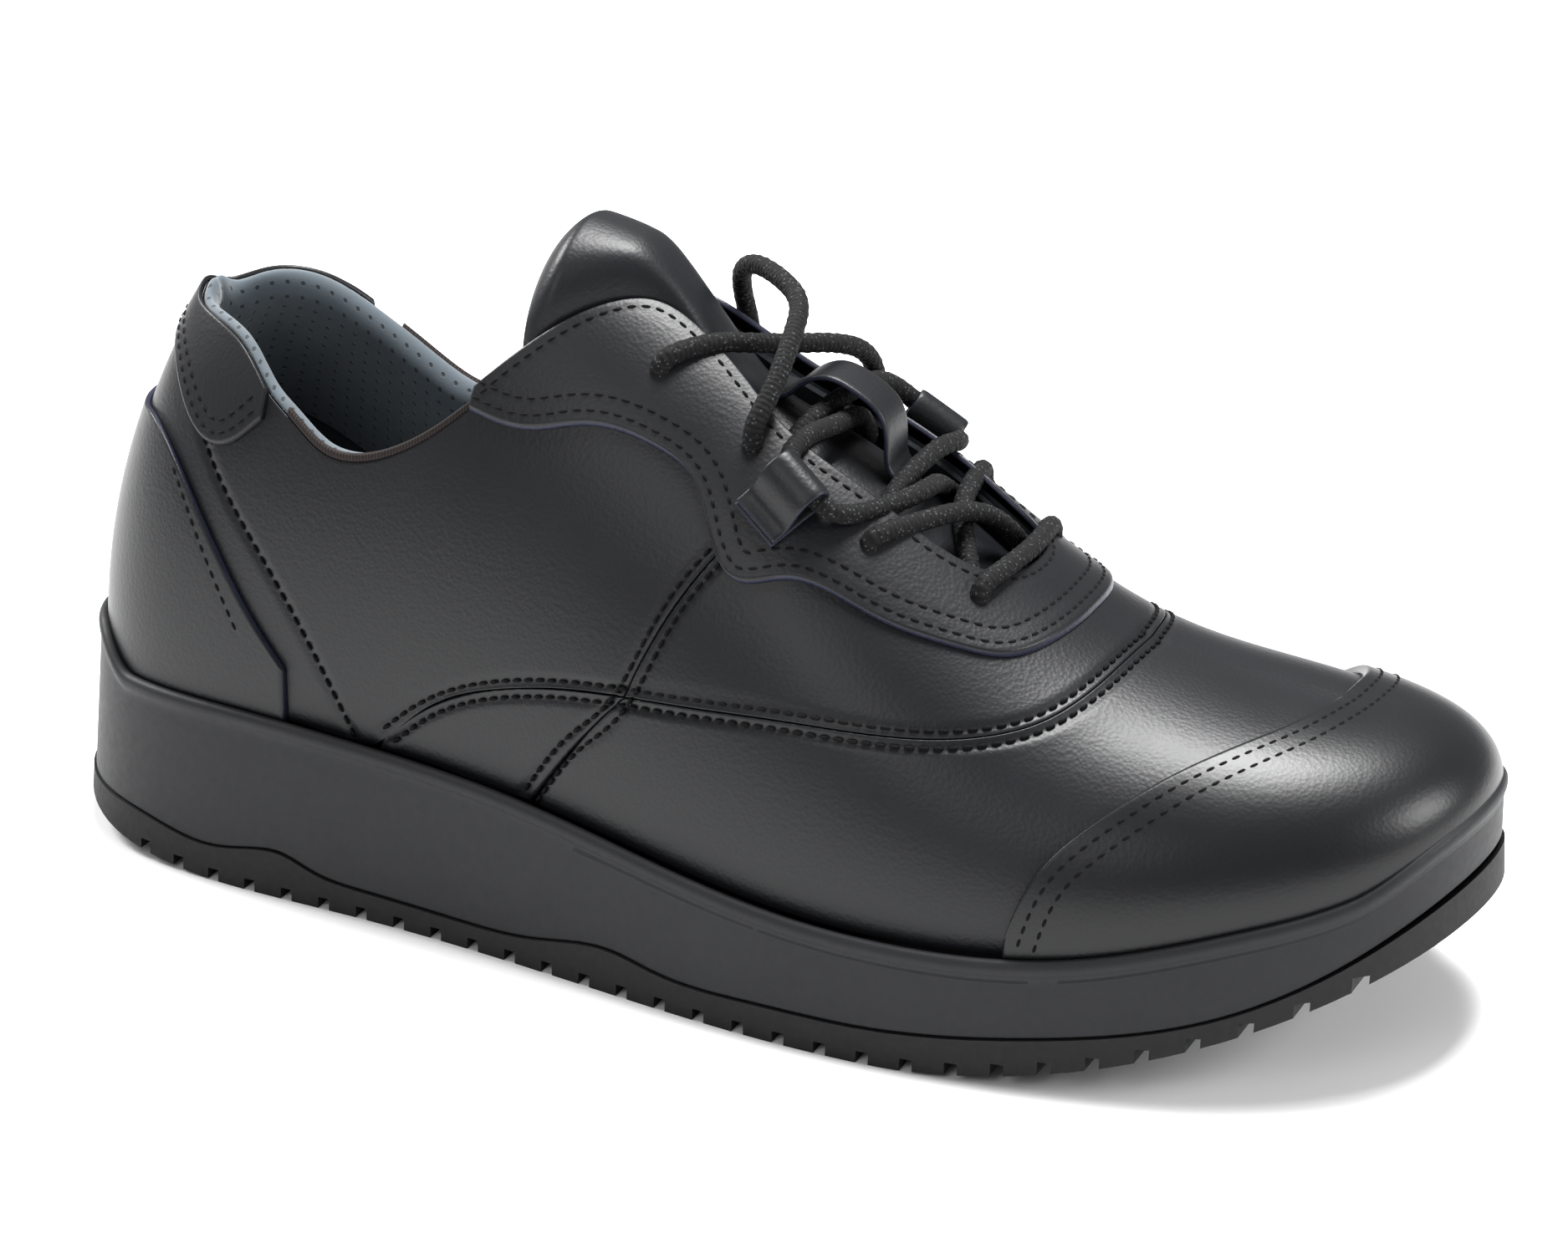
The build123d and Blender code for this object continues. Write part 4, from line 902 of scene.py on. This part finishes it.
def smooth_path(points, count=60):
    points = np.asarray(points, float)
    walked = np.r_[0, np.cumsum(np.linalg.norm(np.diff(points, axis=0), axis=1))]
    return cubic(walked, points)(np.linspace(0, walked[-1], count))


heel_foot = on_last((.8, 0.), float(tongue_face(np.array((.8, 0.)))) + .2)
toe_foot = on_last((24., .6), float(tongue_face(np.array((24., .6)))) + .2)
forward = (toe_foot - heel_foot) / np.linalg.norm(toe_foot - heel_foot)
lift = np.cross(forward, (0, 1., 0))
lift = lift if lift[2] > 0 else -lift
span = np.linalg.norm(toe_foot - heel_foot)
arch = [(-2.5, .7), (.4, 1.6), (3, 6.6), (6.4, 10.6), (span / 2, 11.8), (span - 6.5, 10.6), (span - 2.6, 6.4),
        (span + .4, 2), (span + 4.5, .8)]
strap("keeper_strap", smooth_path([heel_foot + forward * x + lift * z for x, z in arch]), (0, 1, 0), 10.8, 1.3,
      upper_leather, "tongue", ("tongue_keeper",))
LOOPS = {"lateral": ((12.2, -17.4), (22.9, -19)), "medial": ((19.4, 13.4), (29.2, 15.3))}
for side, (start, end) in LOOPS.items():
    a, b = on_last(start, 6.25), on_last(end, 6.25)
    middle = (np.array(start) + np.array(end)) / 2
    normal = directions(middle)[0]
    away = on_last(middle * (1, 1.25)) - on_last(middle)
    axis = (b - a) / np.linalg.norm(b - a)
    away = away - axis * (away @ axis)
    away /= np.linalg.norm(away)
    normal = normal - axis * (normal @ axis) - away * (normal @ away)
    normal /= np.linalg.norm(normal)
    section = [(11.2, -3.9), (6.5, -3.6), (2, -3.2), (-1.6, -2.7), (-3.1, 0), (-1.6, 2.8), (1.4, 3.1), (4.6, .9),
               (7.2, -1.9), (10.6, -2.6)]
    path = smooth_path([(a + b) / 2 + away * x + normal * z for x, z in section], 70)
    strap(f"loop_{side}", path, axis, 11.5, 1.25, upper_leather, "shoe", (f"lace_loop_{side}",))
print("straps done")

# %% [markdown]
# ## Sole
# The midsole is a cup of moulded rubber. Its side wall is a profile carried round the foot: rounded at the bottom,
# drawn in with height, then a small lip. The outsole below keeps its own shape with the tread cut into it.

# %% midsole wall
groove = cubic([-165, -140, -126, -109, -97, -92, -84, -73, -52, -31, -18, -12, -2, 21, 45, 82, 114, 135, 150, 165],
               [11.5, 10.4, 9.4, 7.4, 9.4, 9.6, 7.2, 5.8, 5.3, 6.2, 8.6, 8.8, 7.2, 6.8, 7.2, 11, 18, 28, 37.5, 46])


def cup_rim(x):
    return feather_z(x) + .9 + 7 * smooth((-132 - x) / 14) + 2.5 * smooth((x - 132) / 14)


around = np.linspace(0, 1, 720, endpoint=False)
start, normal = outline(around), plan_normal(around)
toe_end = np.exp(-((around - .5) / .1)**2)
heel_end = np.exp(-(np.minimum(around, 1 - around) / .06)**2)
profile = np.array([(-3.2, 0), (-1.2, 0), (-.35, .15), (-.08, .5), (0, 1.1), (0, 3), (0, 8), (0, 14), (0, 20),
                    (0, 24), (.05, 26.4), (.4, 27.3), (.62, 28.2), (.55, 29.1), (.1, 29.8), (-.7, 30.1),
                    (-1.5, 29.9), (-2.1, 29.2), (-2.3, 27.8)])
spline_up = cubic(np.arange(len(profile)), profile)
out, high = spline_up(np.linspace(0, len(profile) - 1, 44)).T
foot_x = start[:, 0]
bottom = groove(foot_x + normal[:, 0] * 5)
top = cup_rim(foot_x + normal[:, 0] * 3)
share = np.clip(high / 30.1, 0, 1)
keep_low, keep_high = np.clip(1 - high / 3, 0, 1), np.clip((high - 26) / 4.1, 0, 1)
z = bottom[:, None] + share[None] * (top - bottom)[:, None]
z = np.where(high[None] > 25, top[:, None] - (30.1 - high[None]), z)
z = np.where(high[None] < 4, bottom[:, None] + high[None] * .6, z)
flare = 5.6 - np.tan(np.radians(3.6)) * z + out[None] + .5 * toe_end[:, None] * np.clip(share, 0, 1)[None]
inner_flare = np.where(np.arange(44)[None] > 38, np.maximum(flare, 1.75), flare)
plan = start[:, None] + normal[:, None] * inner_flare[..., None]
wall = np.concatenate([plan, z[..., None]], -1)
wall = np.moveaxis(wall, 0, 1)
n = wall[..., 0].size
midsole_piece = piece("midsole_cup", wall.reshape(-1, 3), grid_faces(44, 720, wrap=True), sole_side, "shoe",
                      ("midsole",), caps=[list(range(720)), list(range(n - 720, n))[::-1]])
recalculated(midsole_piece)
print("midsole wall", [round(float(v), 1) for v in (z.min(), z.max())])

# %% [markdown]
# ## Finishes for the pieces kept from the frame
# The tread, the boards and the linings have their right shape already, so each only gets its finish.

# %% give the kept pieces their materials
KEPT = {"outsole": tread_rubber, "shank": shank_steel, "insole_board": fibre_board, "footbed": None,
        "eyestay_reinforcement": None, "toe_puff": fibre_board, "heel_counter": fibre_board,
        "quarter_lining_lateral": None, "quarter_lining_medial": None, "vamp_lining": None,
        "aglet_lateral": aglet_plastic, "aglet_medial": aglet_plastic}
inside_fabric = speckled("inside_fabric", (.014, .017, .021), (.028, .033, .04), (.85, .98), 1500, .0002, .5)
for node, material in KEPT.items():
    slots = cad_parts[node].data.materials
    slots.clear()
    slots.append(material or inside_fabric)

floor_mesh = bpy.data.meshes.new("floor")
floor_mesh.from_pydata([(-6, -6, 0), (6, -6, 0), (6, 6, 0), (-6, 6, 0)], [], [(0, 1, 2, 3)])
floor = bpy.data.objects.new("floor", floor_mesh)
scene.collection.objects.link(floor)
pale, nodes, links, shader = finish_nodes("pale_floor", (.86, .86, .86), .7)
floor_mesh.materials.append(pale)
floor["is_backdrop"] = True

# %% sizes and the last call
low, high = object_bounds()
print("visual box", [round(v, 4) for v in (*low, *high)])
